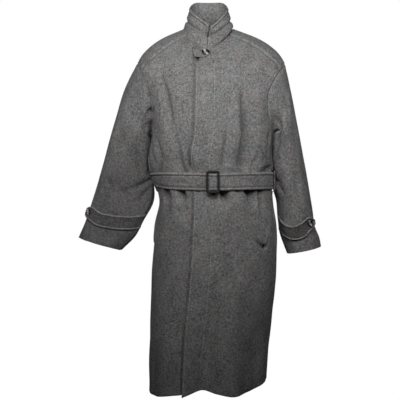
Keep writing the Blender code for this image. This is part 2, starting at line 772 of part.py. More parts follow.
def join_solids(kept, others):
    """Unite other solids with the kept one and remove them."""
    for other in others:
        union = kept.modifiers.new("union", "BOOLEAN")
        union.operation = "UNION"
        union.solver = "EXACT"
        union.object = other
        bpy.context.view_layer.update()
        solved = bpy.data.meshes.new_from_object(
            kept.evaluated_get(bpy.context.evaluated_depsgraph_get())
        )
        kept.modifiers.remove(union)
        kept.data = solved
        bpy.data.objects.remove(other)


def make_buckle():
    """The covered frame, with a bar behind the belt that the belt passes over."""
    outer = rounded_outline(BUCKLE_WIDTH / 2, BUCKLE_HEIGHT / 2, BUCKLE_CORNER)
    inner = rounded_outline(
        BUCKLE_WIDTH / 2 - BUCKLE_BAR, BUCKLE_HEIGHT / 2 - BUCKLE_BAR, BUCKLE_CORNER / 3
    )
    count = len(outer)
    points = []
    for y in (-BUCKLE_BACK, -BUCKLE_BACK - BUCKLE_THICK):
        for outline in (outer, inner):
            points += [(x, y, z) for x, z in outline]
    faces = []
    for i in range(count):
        j = (i + 1) % count
        back_outer, back_inner, front_outer, front_inner = (k * count for k in range(4))
        faces.append((back_outer + i, back_outer + j, back_inner + j, back_inner + i))
        faces.append((front_outer + i, front_inner + i, front_inner + j, front_outer + j))
        faces.append((back_outer + i, front_outer + i, front_outer + j, back_outer + j))
        faces.append((back_inner + i, back_inner + j, front_inner + j, front_inner + i))
    frame = add_object("buckle", points, faces, "leather")
    post = BUCKLE_HEIGHT / 2 - BUCKLE_BAR / 2
    upright = add_box(
        "bar", (-BAR_HALF, -BAR_OUT - BAR_HALF, -post - BAR_HALF),
        (BAR_HALF, -BAR_OUT + BAR_HALF, post + BAR_HALF), "leather",
    )
    posts = [
        add_box(
            f"post_{sign}", (-BAR_HALF, -BUCKLE_BACK - BAR_HALF, sign * post - BAR_HALF),
            (BAR_HALF, -BAR_OUT, sign * post + BAR_HALF), "leather",
        )
        for sign in (-1, 1)
    ]
    join_solids(frame, [upright] + posts)
    bar_angle = math.asin((BUCKLE_X - float(body_section(BELT)[3])) / float(body_section(BELT)[1]))
    levels = np.array([BELT - BELT_HALF, BELT + BELT_HALF])
    low, high = body_point(bar_angle - np.radians(body_section(levels)[4]), levels)
    lean = math.atan2(high[1] - low[1], high[2] - low[2])
    turn = Matrix.Rotation(-lean, 4, "X")
    frame.matrix_world = Matrix.Translation((low + high) / 2) @ turn


def make_belt_loop(side, layers):
    """A strip on the side seam that stands over the belt."""
    sign = SIDE_SIGN[side]
    over = layers * (LIE + BELT_CLOTH) + LIE
    path = (
        (-LOOP_REACH, LIE),
        (-LOOP_FOOT, LIE),
        (-LOOP_SHOULDER, over),
        (0.0, over),
        (LOOP_SHOULDER, over),
        (LOOP_FOOT, LIE),
        (LOOP_REACH, LIE),
    )
    outer = []
    inner = []
    for offset, height in path:
        level = np.full(3, BELT + offset)
        half = LOOP_HALF_WIDTH / body_section(level)[0]
        psi = sign * math.radians(SIDE_SEAM) + half * np.array([-1, 0, 1])
        inner.append(on_body(psi, level, np.full(3, height)))
        outer.append(on_body(psi, level, np.full(3, height + LOOP_CLOTH)))
    add_wall(f"belt_loop_{side}", np.array(outer), np.array(inner))


def make_pocket_welt(side):
    """A slanting welt whose free edge faces the side seam and gapes lower down."""
    sign = SIDE_SIGN[side]
    t = np.linspace(0, 1, WELT_ROWS)[:, None]
    across = np.linspace(0, 1, WELT_SPAN + 1)[None]
    level = WELT_TOP + (WELT_BOTTOM - WELT_TOP) * t + 0 * across
    free = np.radians(WELT_TOP_ANGLE + (WELT_BOTTOM_ANGLE - WELT_TOP_ANGLE) * t)
    psi = sign * (free - (1 - across) * WELT_WIDTH / body_section(level)[0])
    out = WELT_LIE + WELT_GAPE * across**3 * ease(t / WELT_GAPE_GROW) * ease((1 - t) / WELT_GAPE_FADE)
    add_wall(f"pocket_welt_{side}", on_body(psi, level, out + CLOTH), on_body(psi, level, out))


def tab_level(distance):
    """The level of the tab's middle line, which slopes up to its point."""
    return np.interp(distance, (TAB_START, TAB_END), (TAB_LOW_END, TAB_HIGH_END))


def make_throat_tab():
    """A short tab across the throat under the collar, with its button."""
    distance = np.linspace(TAB_START, TAB_END, TAB_STEPS + 1)
    half = np.full(len(distance), TAB_HALF)
    half[-1] *= TAB_TIP
    outer = []
    inner = []
    for across in np.linspace(-1, 1, 3):
        level = tab_level(distance) + across * half
        psi = edge_angle(distance, level)
        inner.append(on_body(psi, level, np.full(len(psi), LIE)))
        outer.append(on_body(psi, level, np.full(len(psi), LIE + CLOTH)))
    add_wall("throat_tab", np.array(outer), np.array(inner))
    level = tab_level(np.array([TAB_BUTTON_AT]))
    psi = edge_angle(np.array([TAB_BUTTON_AT]), level)
    place = on_body(psi, level, np.array([LIE + CLOTH]))[0]
    facing = normals_of(body_point, psi, level)[0]
    make_button("neck_button", place, facing, NECK_BUTTON_RADIUS)


def main():
    for old in list(bpy.data.objects):
        bpy.data.objects.remove(old)
    make_back()
    make_fronts()
    for side in SIDE_SIGN:
        make_sleeve(side)
        make_cuff_strap(side)
        make_pocket_welt(side)
    make_belt_loop("left", layers=2)
    make_belt_loop("right", layers=1)
    make_collar()
    make_throat_tab()
    make_belt()
    make_buckle()


main()
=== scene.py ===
"""The looks of a long belted overcoat of heavy herringbone wool, standing hollow as worn.

Metres, +Z up, the front towards -Y and the wearer's left at +X.  Each piece of cloth is a
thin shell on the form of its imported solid, with the creases, rolled edges and stitching.
"""

import math

import bmesh
import bpy
import numpy as np
from mathutils import Matrix, Vector


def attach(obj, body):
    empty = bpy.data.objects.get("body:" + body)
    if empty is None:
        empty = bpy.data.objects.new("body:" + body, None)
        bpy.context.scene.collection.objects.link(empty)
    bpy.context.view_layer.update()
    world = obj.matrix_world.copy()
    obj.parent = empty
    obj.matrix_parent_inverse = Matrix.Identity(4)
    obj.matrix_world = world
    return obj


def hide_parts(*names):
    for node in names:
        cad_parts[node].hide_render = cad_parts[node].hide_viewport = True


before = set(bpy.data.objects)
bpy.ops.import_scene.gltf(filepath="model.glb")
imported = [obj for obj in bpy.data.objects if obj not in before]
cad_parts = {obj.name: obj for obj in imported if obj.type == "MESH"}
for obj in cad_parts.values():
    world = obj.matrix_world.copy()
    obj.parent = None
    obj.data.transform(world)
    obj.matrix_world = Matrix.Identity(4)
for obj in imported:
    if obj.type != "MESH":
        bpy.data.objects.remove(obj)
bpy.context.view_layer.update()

# Cloth, and the gaps between pieces
CLOTH = 0.003
DOUBLED = 0.0042
BELT_CLOTH = 0.0035
SEAM = 0.0003
LIE = 0.0006
SEAM_EDGE = SEAM / 2

# Heights up the wearer's side, and half the width of the belt
HEM = -1.145
BELT = -0.484
BELT_HALF = 0.027
ARMPIT = -0.335
SHOULDER = -0.100
NECK = 0.010

# Sections round the body, from hem to neck.  turn is how far the centre front is swung
# round from straight ahead, in degrees; the drops lower a section at its front and back.
# level, half_width, front, back, centre_x, turn, front_drop, back_drop
BODY = (
    (HEM, 0.191, 0.168, 0.172, -0.006, -13, 0.000, 0.000),
    (-0.970, 0.195, 0.160, 0.166, -0.001, -13, 0.000, 0.000),
    (-0.840, 0.200, 0.156, 0.163, 0.010, -13, 0.000, 0.000),
    (-0.710, 0.200, 0.151, 0.160, 0.017, -12, 0.000, 0.000),
    (-0.625, 0.195, 0.148, 0.155, 0.020, -12, 0.000, 0.000),
    (-0.540, 0.184, 0.143, 0.148, 0.018, -11, 0.000, 0.000),
    (BELT, 0.1900, 0.139, 0.144, 0.010, -10, 0.000, 0.000),
    (-0.440, 0.2005, 0.147, 0.150, 0.0005, -8, 0.000, 0.000),
    (ARMPIT, 0.193, 0.155, 0.154, 0.004, -4, 0.000, 0.000),
    (-0.215, 0.212, 0.147, 0.152, 0.003, -2, 0.020, 0.010),
    (SHOULDER, 0.237, 0.122, 0.132, 0.003, 0, 0.045, 0.020),
    (-0.058, 0.207, 0.107, 0.116, 0.003, 0, 0.053, 0.012),
    (-0.019, 0.150, 0.083, 0.092, 0.000, 0, 0.061, 0.002),
    (NECK, 0.080, 0.066, 0.066, -0.004, 0, 0.071, -0.013),
)
SQUARENESS = 2.2
# The chest is squarer than the skirt: flat in front, so that it runs on into the sleeves
CHEST_SQUARENESS = 0.8
CHEST_FOOT = -0.44
CHEST_TOP = -0.05
CHEST_EASE = 0.09
DROP_POWER = 1.5

# How far the hem hangs above or below its level, by the angle from straight ahead
# angle, rise
HEM_LINE = (
    (-180, -0.008), (-130, -0.018), (-90, -0.020), (-60, -0.018), (-38, -0.008), (-28, -0.003),
    (-8, 0.016), (8, 0.006), (24, -0.004), (45, 0.004), (66, 0.017), (88, 0.031), (130, 0.018),
    (180, -0.008),
)
HEM_EASE_TOP = -0.90

# Folds: each runs from one level to another while its angle from the centre front
# changes.  root is the share of its length over which it grows; rise is outwards.
# start, end, start_angle, end_angle, width, rise, root
FOLDS = (
    # the chest, rising from the belt
    (-0.448, -0.330, -55, -71, 0.012, -0.009, 0.25),
    (-0.455, -0.310, -73, -70, 0.012, -0.016, 0.10),
    (-0.448, -0.220, 26, 21, 0.014, -0.011, 0.15),
    (-0.448, -0.250, -38, -52, 0.020, 0.005, 0.35),
    (-0.448, -0.230, 31, 31, 0.018, 0.004, 0.35),
    (-0.448, -0.230, 67, 70, 0.022, 0.006, 0.35),
    # the gathers under the belt
    (-0.520, -0.600, -48, -50, 0.014, -0.007, 0.20),
    (-0.520, -0.600, -29, -31, 0.014, -0.006, 0.20),
    (-0.520, -0.590, 24, 24, 0.016, -0.006, 0.20),
    (-0.520, -0.580, 52, 52, 0.014, -0.006, 0.20),
    (-0.520, -0.640, -39, -41, 0.016, 0.004, 0.30),
    (-0.520, -0.650, 38, 40, 0.022, 0.005, 0.30),
    # the skirt, spreading to the hem
    (HEM, -0.700, 36, 33, 0.036, 0.014, 0.0),
    (HEM, -0.760, 7, 20, 0.028, -0.017, 0.0),
    (HEM, -0.840, -14, -15, 0.022, 0.004, 0.0),
    (HEM, -0.860, -38, -36, 0.034, 0.006, 0.0),
    (HEM, -0.860, 66, 64, 0.032, -0.010, 0.0),
    # the back: plain gathers and flutes
    (-0.448, -0.230, 150, 146, 0.022, -0.008, 0.25),
    (-0.448, -0.230, 206, 212, 0.022, -0.008, 0.25),
    (-0.520, -0.680, 152, 150, 0.022, -0.007, 0.20),
    (-0.520, -0.680, 180, 180, 0.022, -0.007, 0.20),
    (-0.520, -0.680, 208, 210, 0.022, -0.007, 0.20),
    (HEM, -0.740, 138, 142, 0.046, 0.011, 0.0),
    (HEM, -0.740, 176, 178, 0.046, -0.010, 0.0),
    (HEM, -0.740, 216, 212, 0.046, 0.011, 0.0),
)
FOLD_FADE = 0.65

# Creases finer than the folds.  bow bends a crease sideways at its middle, in degrees, and
# lean makes it steeper on one side than on the other; where left out, both are 0.
# start, end, start_angle, end_angle, width, rise, root, bow, lean
CREASES = (
    # the chest, from shoulder or armhole to the belt, with the pit above it
    (-0.345, -0.070, -41, -63, 0.012, -0.0190, 0.25, 4, 0.3),
    (-0.472, -0.335, -57, -58, 0.009, -0.0150, 0.10, 9, -0.2),
    (-0.472, -0.330, -25, -35, 0.009, -0.0160, 0.10, 0, 0.2),
    (-0.472, -0.310, -15, -24, 0.010, -0.0150, 0.10, 0, 0.2),
    (-0.472, -0.085, 49, 38.5, 0.019, -0.0330, 0.10, -2.5, 0.2),
    (-0.472, -0.110, 49, 38.5, 0.008, -0.0070, 0.10, -2.5, 0.3),
    (-0.472, -0.290, 26, 21, 0.009, -0.0060, 0.10, 0, -0.2),
    (-0.472, -0.380, 58, 60, 0.008, -0.0080, 0.15),
    (-0.472, -0.425, 36, 37, 0.008, -0.0050, 0.15),
    (-0.437, -0.540, 84, 44, 0.014, -0.0750, 0.06),
    (-0.452, -0.385, 64, 80, 0.009, 0.0060, 0.20),
    (-0.472, -0.335, -71, -74, 0.011, -0.0150, 0.08),
    # where the sleeves lie against the chest
    (-0.352, -0.235, -82, -57, 0.009, -0.0500, 0.10),
    (-0.318, -0.480, 65, 85, 0.008, -0.0150, 0.30, -4, 0.0),
    # the small dent below the throat tab, at the head of the front edge
    (-0.040, -0.073, -25, -26, 0.006, -0.0360, 0.30),
    # pits where the cloth is drawn in under the belt
    (-0.500, -0.575, -52, -54, 0.010, -0.0320, 0.10, 0, 0.2),
    (-0.500, -0.565, -31, -33, 0.009, -0.0300, 0.10),
    (-0.500, -0.545, -11, -12, 0.009, -0.0050, 0.10),
    (-0.500, -0.570, 8, 7, 0.013, -0.0330, 0.10),
    (-0.500, -0.565, 20, 22, 0.012, -0.0330, 0.10),
    (-0.500, -0.550, 38, 39, 0.009, -0.0050, 0.10),
    (-0.500, -0.575, 56, 57, 0.011, -0.0320, 0.10),
    (-0.500, -0.610, 66, 67, 0.008, -0.0230, 0.10, 0, 0.3),
    (-0.500, -0.560, -66, -68, 0.010, -0.0150, 0.10),
    # the hooked fold at the foot of the pocket mouth on the wearer's left
    (-0.698, -0.664, 69, 54, 0.014, -0.0110, 0.15),
    # the skirt
    (HEM, -0.880, 22, 24, 0.022, 0.0030, 0.0, 2, 0.0),
    (HEM, -0.930, 52, 50, 0.020, -0.0030, 0.0),
    (HEM, -0.960, -54, -52, 0.022, -0.0030, 0.0),
    # the back and the sides, as the front
    (-0.472, -0.300, 122, 116, 0.010, -0.0070, 0.10, 3, 0.2),
    (-0.472, -0.260, 149, 143, 0.010, -0.0060, 0.10, -2, -0.2),
    (-0.472, -0.330, 178, 181, 0.009, -0.0050, 0.10),
    (-0.472, -0.250, 208, 216, 0.010, -0.0060, 0.10, 2, 0.3),
    (-0.472, -0.310, 240, 246, 0.010, -0.0070, 0.10, -2, 0.0),
    (-0.494, -0.580, 120, 119, 0.010, -0.0070, 0.15),
    (-0.494, -0.570, 140, 139, 0.010, -0.0070, 0.15),
    (-0.494, -0.590, 165, 166, 0.010, -0.0080, 0.15),
    (-0.494, -0.575, 196, 197, 0.010, -0.0070, 0.15),
    (-0.494, -0.590, 222, 223, 0.010, -0.0080, 0.15),
    (-0.494, -0.570, 245, 247, 0.010, -0.0070, 0.15),
    (HEM, -0.900, 158, 156, 0.024, 0.0030, 0.0),
    (HEM, -0.920, 196, 199, 0.024, 0.0030, 0.0),
)

# Slight unevenness all over, as cloth that has been worn: waves round and per metre up
# waves_round, waves_up, phase, height
RIPPLES = (
    (5, 2.3, 0.4, 0.0011),
    (9, -3.6, 1.9, 0.0008),
    (14, 5.2, 4.1, 0.0005),
    (7, 7.4, 2.7, 0.0005),
)
NORMAL_STEP = 1e-4
HALVINGS = 40

# The fronts overlap this far past the centre, the wearer's left one on top
OVERLAP = 0.040
FRONT_LEAN = 0.007
UNDERLAP_EASE = 0.016
FRONT_LIE = 0.001
CORNER_DROP = 0.006
NECK_CUT = 0.012
NECK_CUT_HEIGHT = 0.05
NECK_CUT_POWER = 3

# Armholes and the seams that run from them, in degrees
SIDE_SEAM = 90
ARMHOLE_FRONT = 29
ARMHOLE_BACK = 22
ARMHOLE_REACH = 0.20
SHOULDER_SEAM_NECK = 60
SHOULDER_STATION = -42
BACK_SEAM_STATION = 105
ARMPIT_STATION = 180
FRONT_SEAM_STATION = 188
YOKE_POWER = 8

# Rows up a panel and columns across it
SKIRT_ROWS = 150
HOLE_ROWS = 48
SHOULDER_ROWS = 22
FRONT_COLUMNS = 84
FRONT_COLUMN_POWER = 1.35
FRONT_SHARES = 1 - (1 - np.linspace(0, 1, FRONT_COLUMNS)[1:]) ** FRONT_COLUMN_POWER
# The columns are closest at the front edge and at the fly's stitching, where the cloth bends most
FRONT_INSETS = np.concatenate(
    [
        np.arange(0, 0.012, 0.0012),
        np.arange(0.013, 0.053, 0.004),
        np.arange(0.054, 0.067, 0.0012),
        np.arange(0.069, 0.099, 0.0025),
    ]
)
BACK_COLUMNS = 171
BACK_ACROSS = np.sin(math.pi / 2 * np.linspace(-1, 1, BACK_COLUMNS))

# Sleeve sections down the arm.  The outer and inner points are its edges seen from the
# front, x outwards from the middle of the coat; the depth comes from the girth.
# outer_x, outer_z, inner_x, inner_z, centre_y, girth
SLEEVES = {
    "left": (
        (0.260, -0.176, 0.195, -0.345, 0.012, 0.545),
        (0.279, -0.273, 0.191, -0.358, 0.017, 0.472),
        (0.300, -0.380, 0.188, -0.420, 0.028, 0.440),
        (0.320, -0.475, 0.200, -0.490, 0.036, 0.415),
        (0.331, -0.540, 0.2195, -0.548, 0.030, 0.405),
        (0.338, -0.592, 0.2225, -0.605, 0.022, 0.398),
        (0.340, -0.624, 0.226, -0.643, 0.016, 0.392),
        (0.356, -0.668, 0.238, -0.684, 0.010, 0.388),
        (0.359, -0.696, 0.250, -0.719, 0.006, 0.384),
    ),
    "right": (
        (0.274, -0.176, 0.191, -0.345, 0.012, 0.530),
        (0.305, -0.273, 0.187, -0.360, 0.022, 0.455),
        (0.330, -0.351, 0.183, -0.405, 0.038, 0.432),
        (0.353, -0.429, 0.184, -0.472, 0.052, 0.418),
        (0.376, -0.507, 0.186, -0.548, 0.052, 0.412),
        (0.397, -0.575, 0.219, -0.614, 0.044, 0.402),
        (0.411, -0.619, 0.243, -0.662, 0.036, 0.396),
        (0.428, -0.668, 0.288, -0.710, 0.028, 0.388),
    ),
}
SIDE_SIGN = {"left": 1, "right": -1}
SLEEVE_CLEAR = 0.001
SLEEVE_BELT_CLEAR = 0.0105
SLEEVE_SOFTEN = 0.004
SLEEVE_HEAD = 0.05
SLEEVE_MIDDLE_X = 0.215
SLEEVE_ROWS = 96
SLEEVE_ROW_POWER = 1.1
SLEEVE_STEP = 2.2
SLEEVE_RADIUS = 0.065
SLEEVE_FEWER_WAVES = 2

# Creases of the sleeves, by the distance down from the armhole and the angle round: 0 is
# the outer side, -90 the front and 180 the inner side
# start, end, start_angle, end_angle, width, rise, root, bow, lean
SLEEVE_CREASES = {
    "left": (
        (0.010, 0.215, -117, -138, 0.008, -0.0200, 0.40, 12, 0.3),
        (0.044, 0.090, -158, -108, 0.010, -0.0260, 0.15),
        (0.228, 0.292, -188, -116, 0.010, -0.0170, 0.15, 0, 0.2),
        (0.276, 0.330, -142, -126, 0.009, -0.0100, 0.25),
        (0.200, 0.400, -92, -98, 0.018, 0.0040, 0.30),
        (0.230, 0.390, -72, -80, 0.014, -0.0045, 0.30),
        (0.060, 0.330, 60, 66, 0.020, -0.0040, 0.30, 6, 0.0),
        (0.200, 0.330, 130, 96, 0.010, -0.0060, 0.25, 0, 0.2),
        (0.240, 0.370, 150, 118, 0.010, -0.0050, 0.25),
    ),
    "right": (
        (0.000, 0.060, -75, -200, 0.020, -0.0220, 0.20),
        (0.010, 0.140, -128, -140, 0.010, -0.0030, 0.20, 4, 0.2),
        (0.160, 0.280, -106, -128, 0.009, -0.0090, 0.25, 0, 0.3),
        (0.250, 0.325, -158, -80, 0.010, -0.0100, 0.15, 0, 0.2),
        (0.275, 0.360, -150, -110, 0.009, -0.0070, 0.25),
        (0.290, 0.405, -86, -97, 0.011, -0.0075, 0.30, 0, 0.3),
        (0.270, 0.360, -44, -70, 0.010, -0.0065, 0.30, 0, 0.2),
        (0.080, 0.380, -56, -60, 0.020, -0.0030, 0.30, 4, 0.0),
        (0.060, 0.330, 56, 62, 0.020, -0.0040, 0.30, 6, 0.0),
        (0.200, 0.330, 134, 100, 0.010, -0.0060, 0.25, 0, 0.2),
        (0.240, 0.370, 152, 120, 0.010, -0.0050, 0.25),
    ),
}

# Collar sections, each from its lower edge up.  vee is how straight the edge runs down
# to the front: 0 is a round neckline, 1 a vee.  square is how long it stays level from the
# back to the sides: 2 falls all the way, a large one only round the corner.
# half_width, front, back, side_z, front_z, back_z, vee, square
COLLARS = {
    "collar_stand": (
        (0.0800, 0.0660, 0.0660, 0.0104, -0.0606, 0.0234, 0.0, 2),
        (0.0785, 0.0675, 0.0655, 0.0215, -0.0430, 0.0430, 0.1, 2),
        (0.0755, 0.0650, 0.0640, 0.0325, -0.0240, 0.0620, 0.25, 2),
    ),
    "collar_leaf": (
        (0.0705, 0.0598, 0.0588, 0.0240, -0.0330, 0.0300, 0.25, 2),
        (0.0690, 0.0605, 0.0590, 0.0480, -0.0150, 0.0780, 0.45, 4),
        (0.0630, 0.0640, 0.0570, 0.0755, 0.0070, 0.1045, 0.62, 6.5),
    ),
}
COLLAR_CENTRE_X = -0.004
COLLAR_END = {"collar_stand": 0.0012, "collar_leaf": 0.0004}
COLLAR_STEPS = 200
COLLAR_ROWS = 34
# The slit between the collar's ends stands this far to the side at its foot, and leans back
# over the leaf.  The stand's top edge is turned in against the leaf, which is drawn in there
# and puffs out above it; its foot spreads over the panels where it isn't sewn in flat.
COLLAR_SLIT = -0.0045
SLIT_LEAN = 0.007
COLLAR_ROLL = 0.0036
COLLAR_GROOVE = 0.0040
COLLAR_SIDE_FLAT = 0.8
# How quickly what is done in front fades towards the sides, the columns at each end that have
# no stitches, and how far the stand is sewn in flat on the side away from the overlap
COLLAR_POWER = 4
COLLAR_BARE = 6
STAND_SEWN = 0.5
STAND_TURN = 0.0036
STAND_TURN_WIDTH = 0.0030
STAND_FLARE = 0.0030
STAND_TUCK = 0.0035
STAND_FLARE_WIDTH = 0.006
LEAF_DIP = 0.0050
LEAF_DIP_AT = 0.0105
LEAF_DIP_WIDTH = 0.0045
LEAF_PUFF = 0.0020
LEAF_PUFF_AT = 0.022
LEAF_PUFF_WIDTH = 0.007

# Belt: it starts at the bar of the buckle, goes once round by the wearer's left, passes
# over the bar and ends at the wearer's left side
BELT_STEPS = 300
BELT_ROWS = 22
BELT_LIE = 0.001
BELT_START = 0.0028
BELT_END_ANGLE = 78
# A soft dent in the belt's lower half, by the angle round and the height over its edge
BELT_DENT = 0.0028
BELT_DENT_ANGLE = -37
BELT_DENT_LENGTH = 0.022
BELT_DENT_UP = 0.021
BELT_DENT_HEIGHT = 0.007
# It sags a little in front, and its lower edge is gathered up into the loop on one side
BELT_SAG = 0.006
BELT_PINCH_ANGLE = -94
BELT_PINCH_SPREAD = 24
BELT_PINCH_LOW = 0.72
BELT_PINCH_HIGH = 0.12
BAR_RISE = 0.0032
OVER_BAR = 0.0082
BAR_EASE = 0.026

# Buckle
BUCKLE_X = 0.007
BUCKLE_WIDTH = 0.042
BUCKLE_HEIGHT = 0.071
BUCKLE_BAR = 0.0072
BUCKLE_CORNER = 0.008
BUCKLE_BACK = 0.0104
BUCKLE_THICK = 0.0052
BAR_HALF = 0.0018
BAR_OUT = 0.0053
CORNER_STEPS = 8
SECTION_STEPS = 20
SECTION_SQUARENESS = 3.2

# Belt loops
LOOP_HALF_WIDTH = 0.006
LOOP_CLOTH = 0.0025
LOOP_REACH = 0.042
LOOP_SHOULDER = 0.031
LOOP_FOOT = 0.036
LOOP_ROWS = 60
LOOP_COLUMNS = 9

# Cuff straps: how far up from the cuff their middle lies, by the angle round the sleeve
# angle, up
STRAPS = {
    "left": (
        (-172, 0.098), (-154, 0.088), (-140, 0.078), (-120, 0.064),
        (-98, 0.061), (-80, 0.068), (-62, 0.080), (-28, 0.086),
    ),
    "right": (
        (-172, 0.107), (-154, 0.102), (-140, 0.097), (-115, 0.087),
        (-90, 0.081), (-60, 0.080), (-30, 0.093), (0, 0.098),
    ),
}
STRAP_HALF = 0.0235
# The strap's half width near its point, as a share of the whole, by the angle short of its end
# short_of_end, share
STRAP_POINT = ((0, 0.30), (7, 0.58), (18, 0.85), (30, 1.0), (60, 1.0))
STRAP_LIE = 0.0026
STRAP_ROLL = 0.0042
STRAP_SINK = 0.0018
STRAP_ROOT = 0.05
STRAP_ROOT_FLAT = 0.75
STRAP_COLUMNS = 84
STRAP_ROWS = 26
# The share of a strap's length that its stitching runs along
STRAP_STITCHED = 0.9
STRAP_END = {"left": -28, "right": 0}
STRAP_BUTTON = {"left": -52, "right": -20}

# Pocket welts: the slanting edge that the hand goes in by, and the width of the welt
WELT_TOP = -0.548
WELT_BOTTOM = -0.690
WELT_TOP_ANGLE = 84
WELT_BOTTOM_ANGLE = 67
WELT_WIDTH = 0.044
WELT_GAPE = 0.0018
WELT_LIE = 0.0011
WELT_GAPE_GROW = 0.62
WELT_GAPE_FADE = 0.2
WELT_PRESSED = 0.12
WELT_PRESSED_END = 0.08
WELT_ROWS = 70
WELT_COLUMNS = 24

# The hollow in the front behind the lower half of the welt's free edge, as a crease
POCKET_HOLLOW = (-0.704, -0.590, 67.8, 81, 0.006, -0.0240, 0.12)

# Throat tab, measured from the centre front, and the buttons
TAB_START = -0.048
TAB_END = -0.004
TAB_LOW_END = -0.036
TAB_HIGH_END = -0.022
TAB_HALF = 0.016
TAB_CLEAR = -0.060
TAB_COLUMNS = 36
TAB_ROWS = 18
TAB_TIP = 0.6
TAB_STAND = 0.0052
TAB_BUTTON_AT = -0.016
NECK_BUTTON_RADIUS = 0.0125
CUFF_BUTTON_RADIUS = 0.0105
BUTTON_THICK = 0.004
BUTTON_STEPS = 40
# The outline of a button, as shares of its radius and of its thickness
# radius, height
BUTTON_OUTLINE = (
    (0.0, 0.0), (0.80, 0.0), (0.92, 0.10), (0.985, 0.30), (1.0, 0.50), (0.985, 0.74), (0.93, 0.93),
    (0.84, 1.0), (0.75, 0.94), (0.64, 0.74), (0.50, 0.54), (0.32, 0.42), (0.0, 0.36),
)
HOLE_PLACE = 0.24
HOLE_RADIUS = 0.105
HOLE_STEPS = 12
THREAD_THICK = 0.0011
THREAD_STEPS = 10
THREAD_RINGS = 6
BUTTON_MERGE = 1e-6
# Edges of a button or the buckle that turn by more degrees than this stay sharp
BUTTON_SHARP = 40
BUCKLE_SHARP = 50

# Edges and stitching
RIM_STEPS = 4
EDGE_ROLL = 0.0014
BAND_ROLL = 0.0024
BAND_DEPTH = 0.0030
TAB_ROLL = 0.0012
FRONT_ROLL = 0.0020
FRONT_LIFT = 0.0040
FRONT_LIFT_WIDTH = 0.022
FRONT_PRESS = 0.0035
FRONT_PRESS_HEM = 0.0060
FRONT_PRESS_AT = 0.0035
FRONT_PRESS_WIDTH = 0.0042
STITCH_DEPTH = 0.0016
STITCH_WIDTH = 0.0022
SEAM_DIP = 0.0040
SEAM_DIP_WIDTH = 0.0040
SEAM_PUFF = 0.0007
SEAM_PUFF_AT = 0.011
SEAM_PUFF_WIDTH = 0.005
HIDDEN_SEAM_TOP = -0.122
HIDDEN_SEAM_EASE = 0.02
ARMHOLE_DIP = 0.6
FRONT_STITCH = 0.0042
FLY_STITCH = 0.060
COLLAR_STITCH = 0.0095
BELT_STITCH = 0.0080
STRAP_STITCH = 0.0070
TAB_STITCH = 0.005
STITCH_THICK = 0.0030
# What the tree that lays the stitches is given, each by the name of its input
STITCH_INPUTS = {"Pitch": 0.0072, "Length": 0.0046, "Thickness": STITCH_THICK, "Seed": 7}
# A stitch's shortest and longest share of its length, and the faces of its little ball
STITCH_SHORTEST = 0.82
STITCH_LONGEST = 1.12
STITCH_SEGMENTS = 6
STITCH_RINGS = 5

# Camera and light
CAMERA_PLACE = (-0.0325, -3.0, -0.546)
FRAME_WIDTH = 1.3
SENSOR = 36.0
FLOOR_LEVEL = -1.32
FLOOR_HALF = 14.0
STUDIO_GLOW = 0.015
# name, place, target, size, power
LIGHTS = (
    ("key", (-0.05, -1.25, 0.14), (0.0, 0.0, 0.64), (2.7, 0.6), 29),
    ("back", (0.1, 1.5, 0.6), (0.0, 0.0, -0.40), (1.4, 1.0), 16),
)


def smooth_through(knots, values, at):
    """Read values at new places from a smooth curve through the knots."""
    knots = np.asarray(knots, float)
    values = np.asarray(values, float)
    at = np.asarray(at, float)
    tangents = np.gradient(values, knots, axis=0)
    i = np.clip(np.searchsorted(knots, at, side="right") - 1, 0, len(knots) - 2)
    extra = (1,) * (values.ndim - 1)
    step = (knots[i + 1] - knots[i]).reshape(at.shape + extra)
    t = (at - knots[i]).reshape(at.shape + extra) / step
    start, end = values[i], values[i + 1]
    leave, arrive = tangents[i] * step, tangents[i + 1] * step
    rest = 1 - t
    return (
        (1 + 2 * t) * rest**2 * start
        + t * rest**2 * leave
        + t**2 * (3 - 2 * t) * end
        - t**2 * rest * arrive
    )


def ease(t):
    """Go from 0 to 1 with no corner at either end."""
    t = np.clip(t, 0.0, 1.0)
    return t * t * (3 - 2 * t)


def bell(distance, width):
    """1 at no distance, falling softly to next to nothing at about two widths."""
    return np.exp(-((distance / width) ** 2))


def wrapped(angle):
    """The same angle, within half a turn of 0."""
    return (angle + math.pi) % math.tau - math.pi


def unit(vectors):
    return vectors / np.linalg.norm(vectors, axis=-1, keepdims=True)


def ring_reach(angle, half_width, front, back, squareness=SQUARENESS):
    """Distance from the middle of a section to its edge; angle 0 is straight ahead."""
    across = np.abs(np.sin(angle))
    along = np.abs(np.cos(angle))
    depth = np.where(np.cos(angle) > 0, front, back)
    total = (across / half_width) ** squareness + (along / depth) ** squareness
    return total ** (-1 / squareness)


def body_squareness(level):
    chest = ease((level - CHEST_FOOT) / CHEST_EASE) * ease((CHEST_TOP - level) / CHEST_EASE)
    return SQUARENESS + CHEST_SQUARENESS * chest


def one_fold(angle, along, reach, start, end, from_angle, to_angle, width, rise, root, bow=0, lean=0):
    """How far one fold or crease lifts the cloth at a place."""
    t = (along - start) / (end - start)
    share = np.clip(t, 0, 1)
    middle = from_angle + (to_angle - from_angle) * share + 4 * bow * share * (1 - share)
    away = wrapped(angle - np.radians(middle)) * reach
    side = width * (1 + lean * np.tanh(away / width))
    grow = ease(t / root) if root else 1.0
    fade = ease((1 - t) / FOLD_FADE) * (t < 1)
    return rise * grow * fade * bell(away, side)


def off_belt(level):
    """0 under the belt, growing to 1 a little above and below it."""
    return ease((np.abs(level - BELT) - BELT_HALF) / BELT_HALF)


def near_hem(level):
    """0 high up the skirt, growing to 1 at the hem."""
    return ease((HEM_EASE_TOP - level) / (HEM_EASE_TOP - HEM))


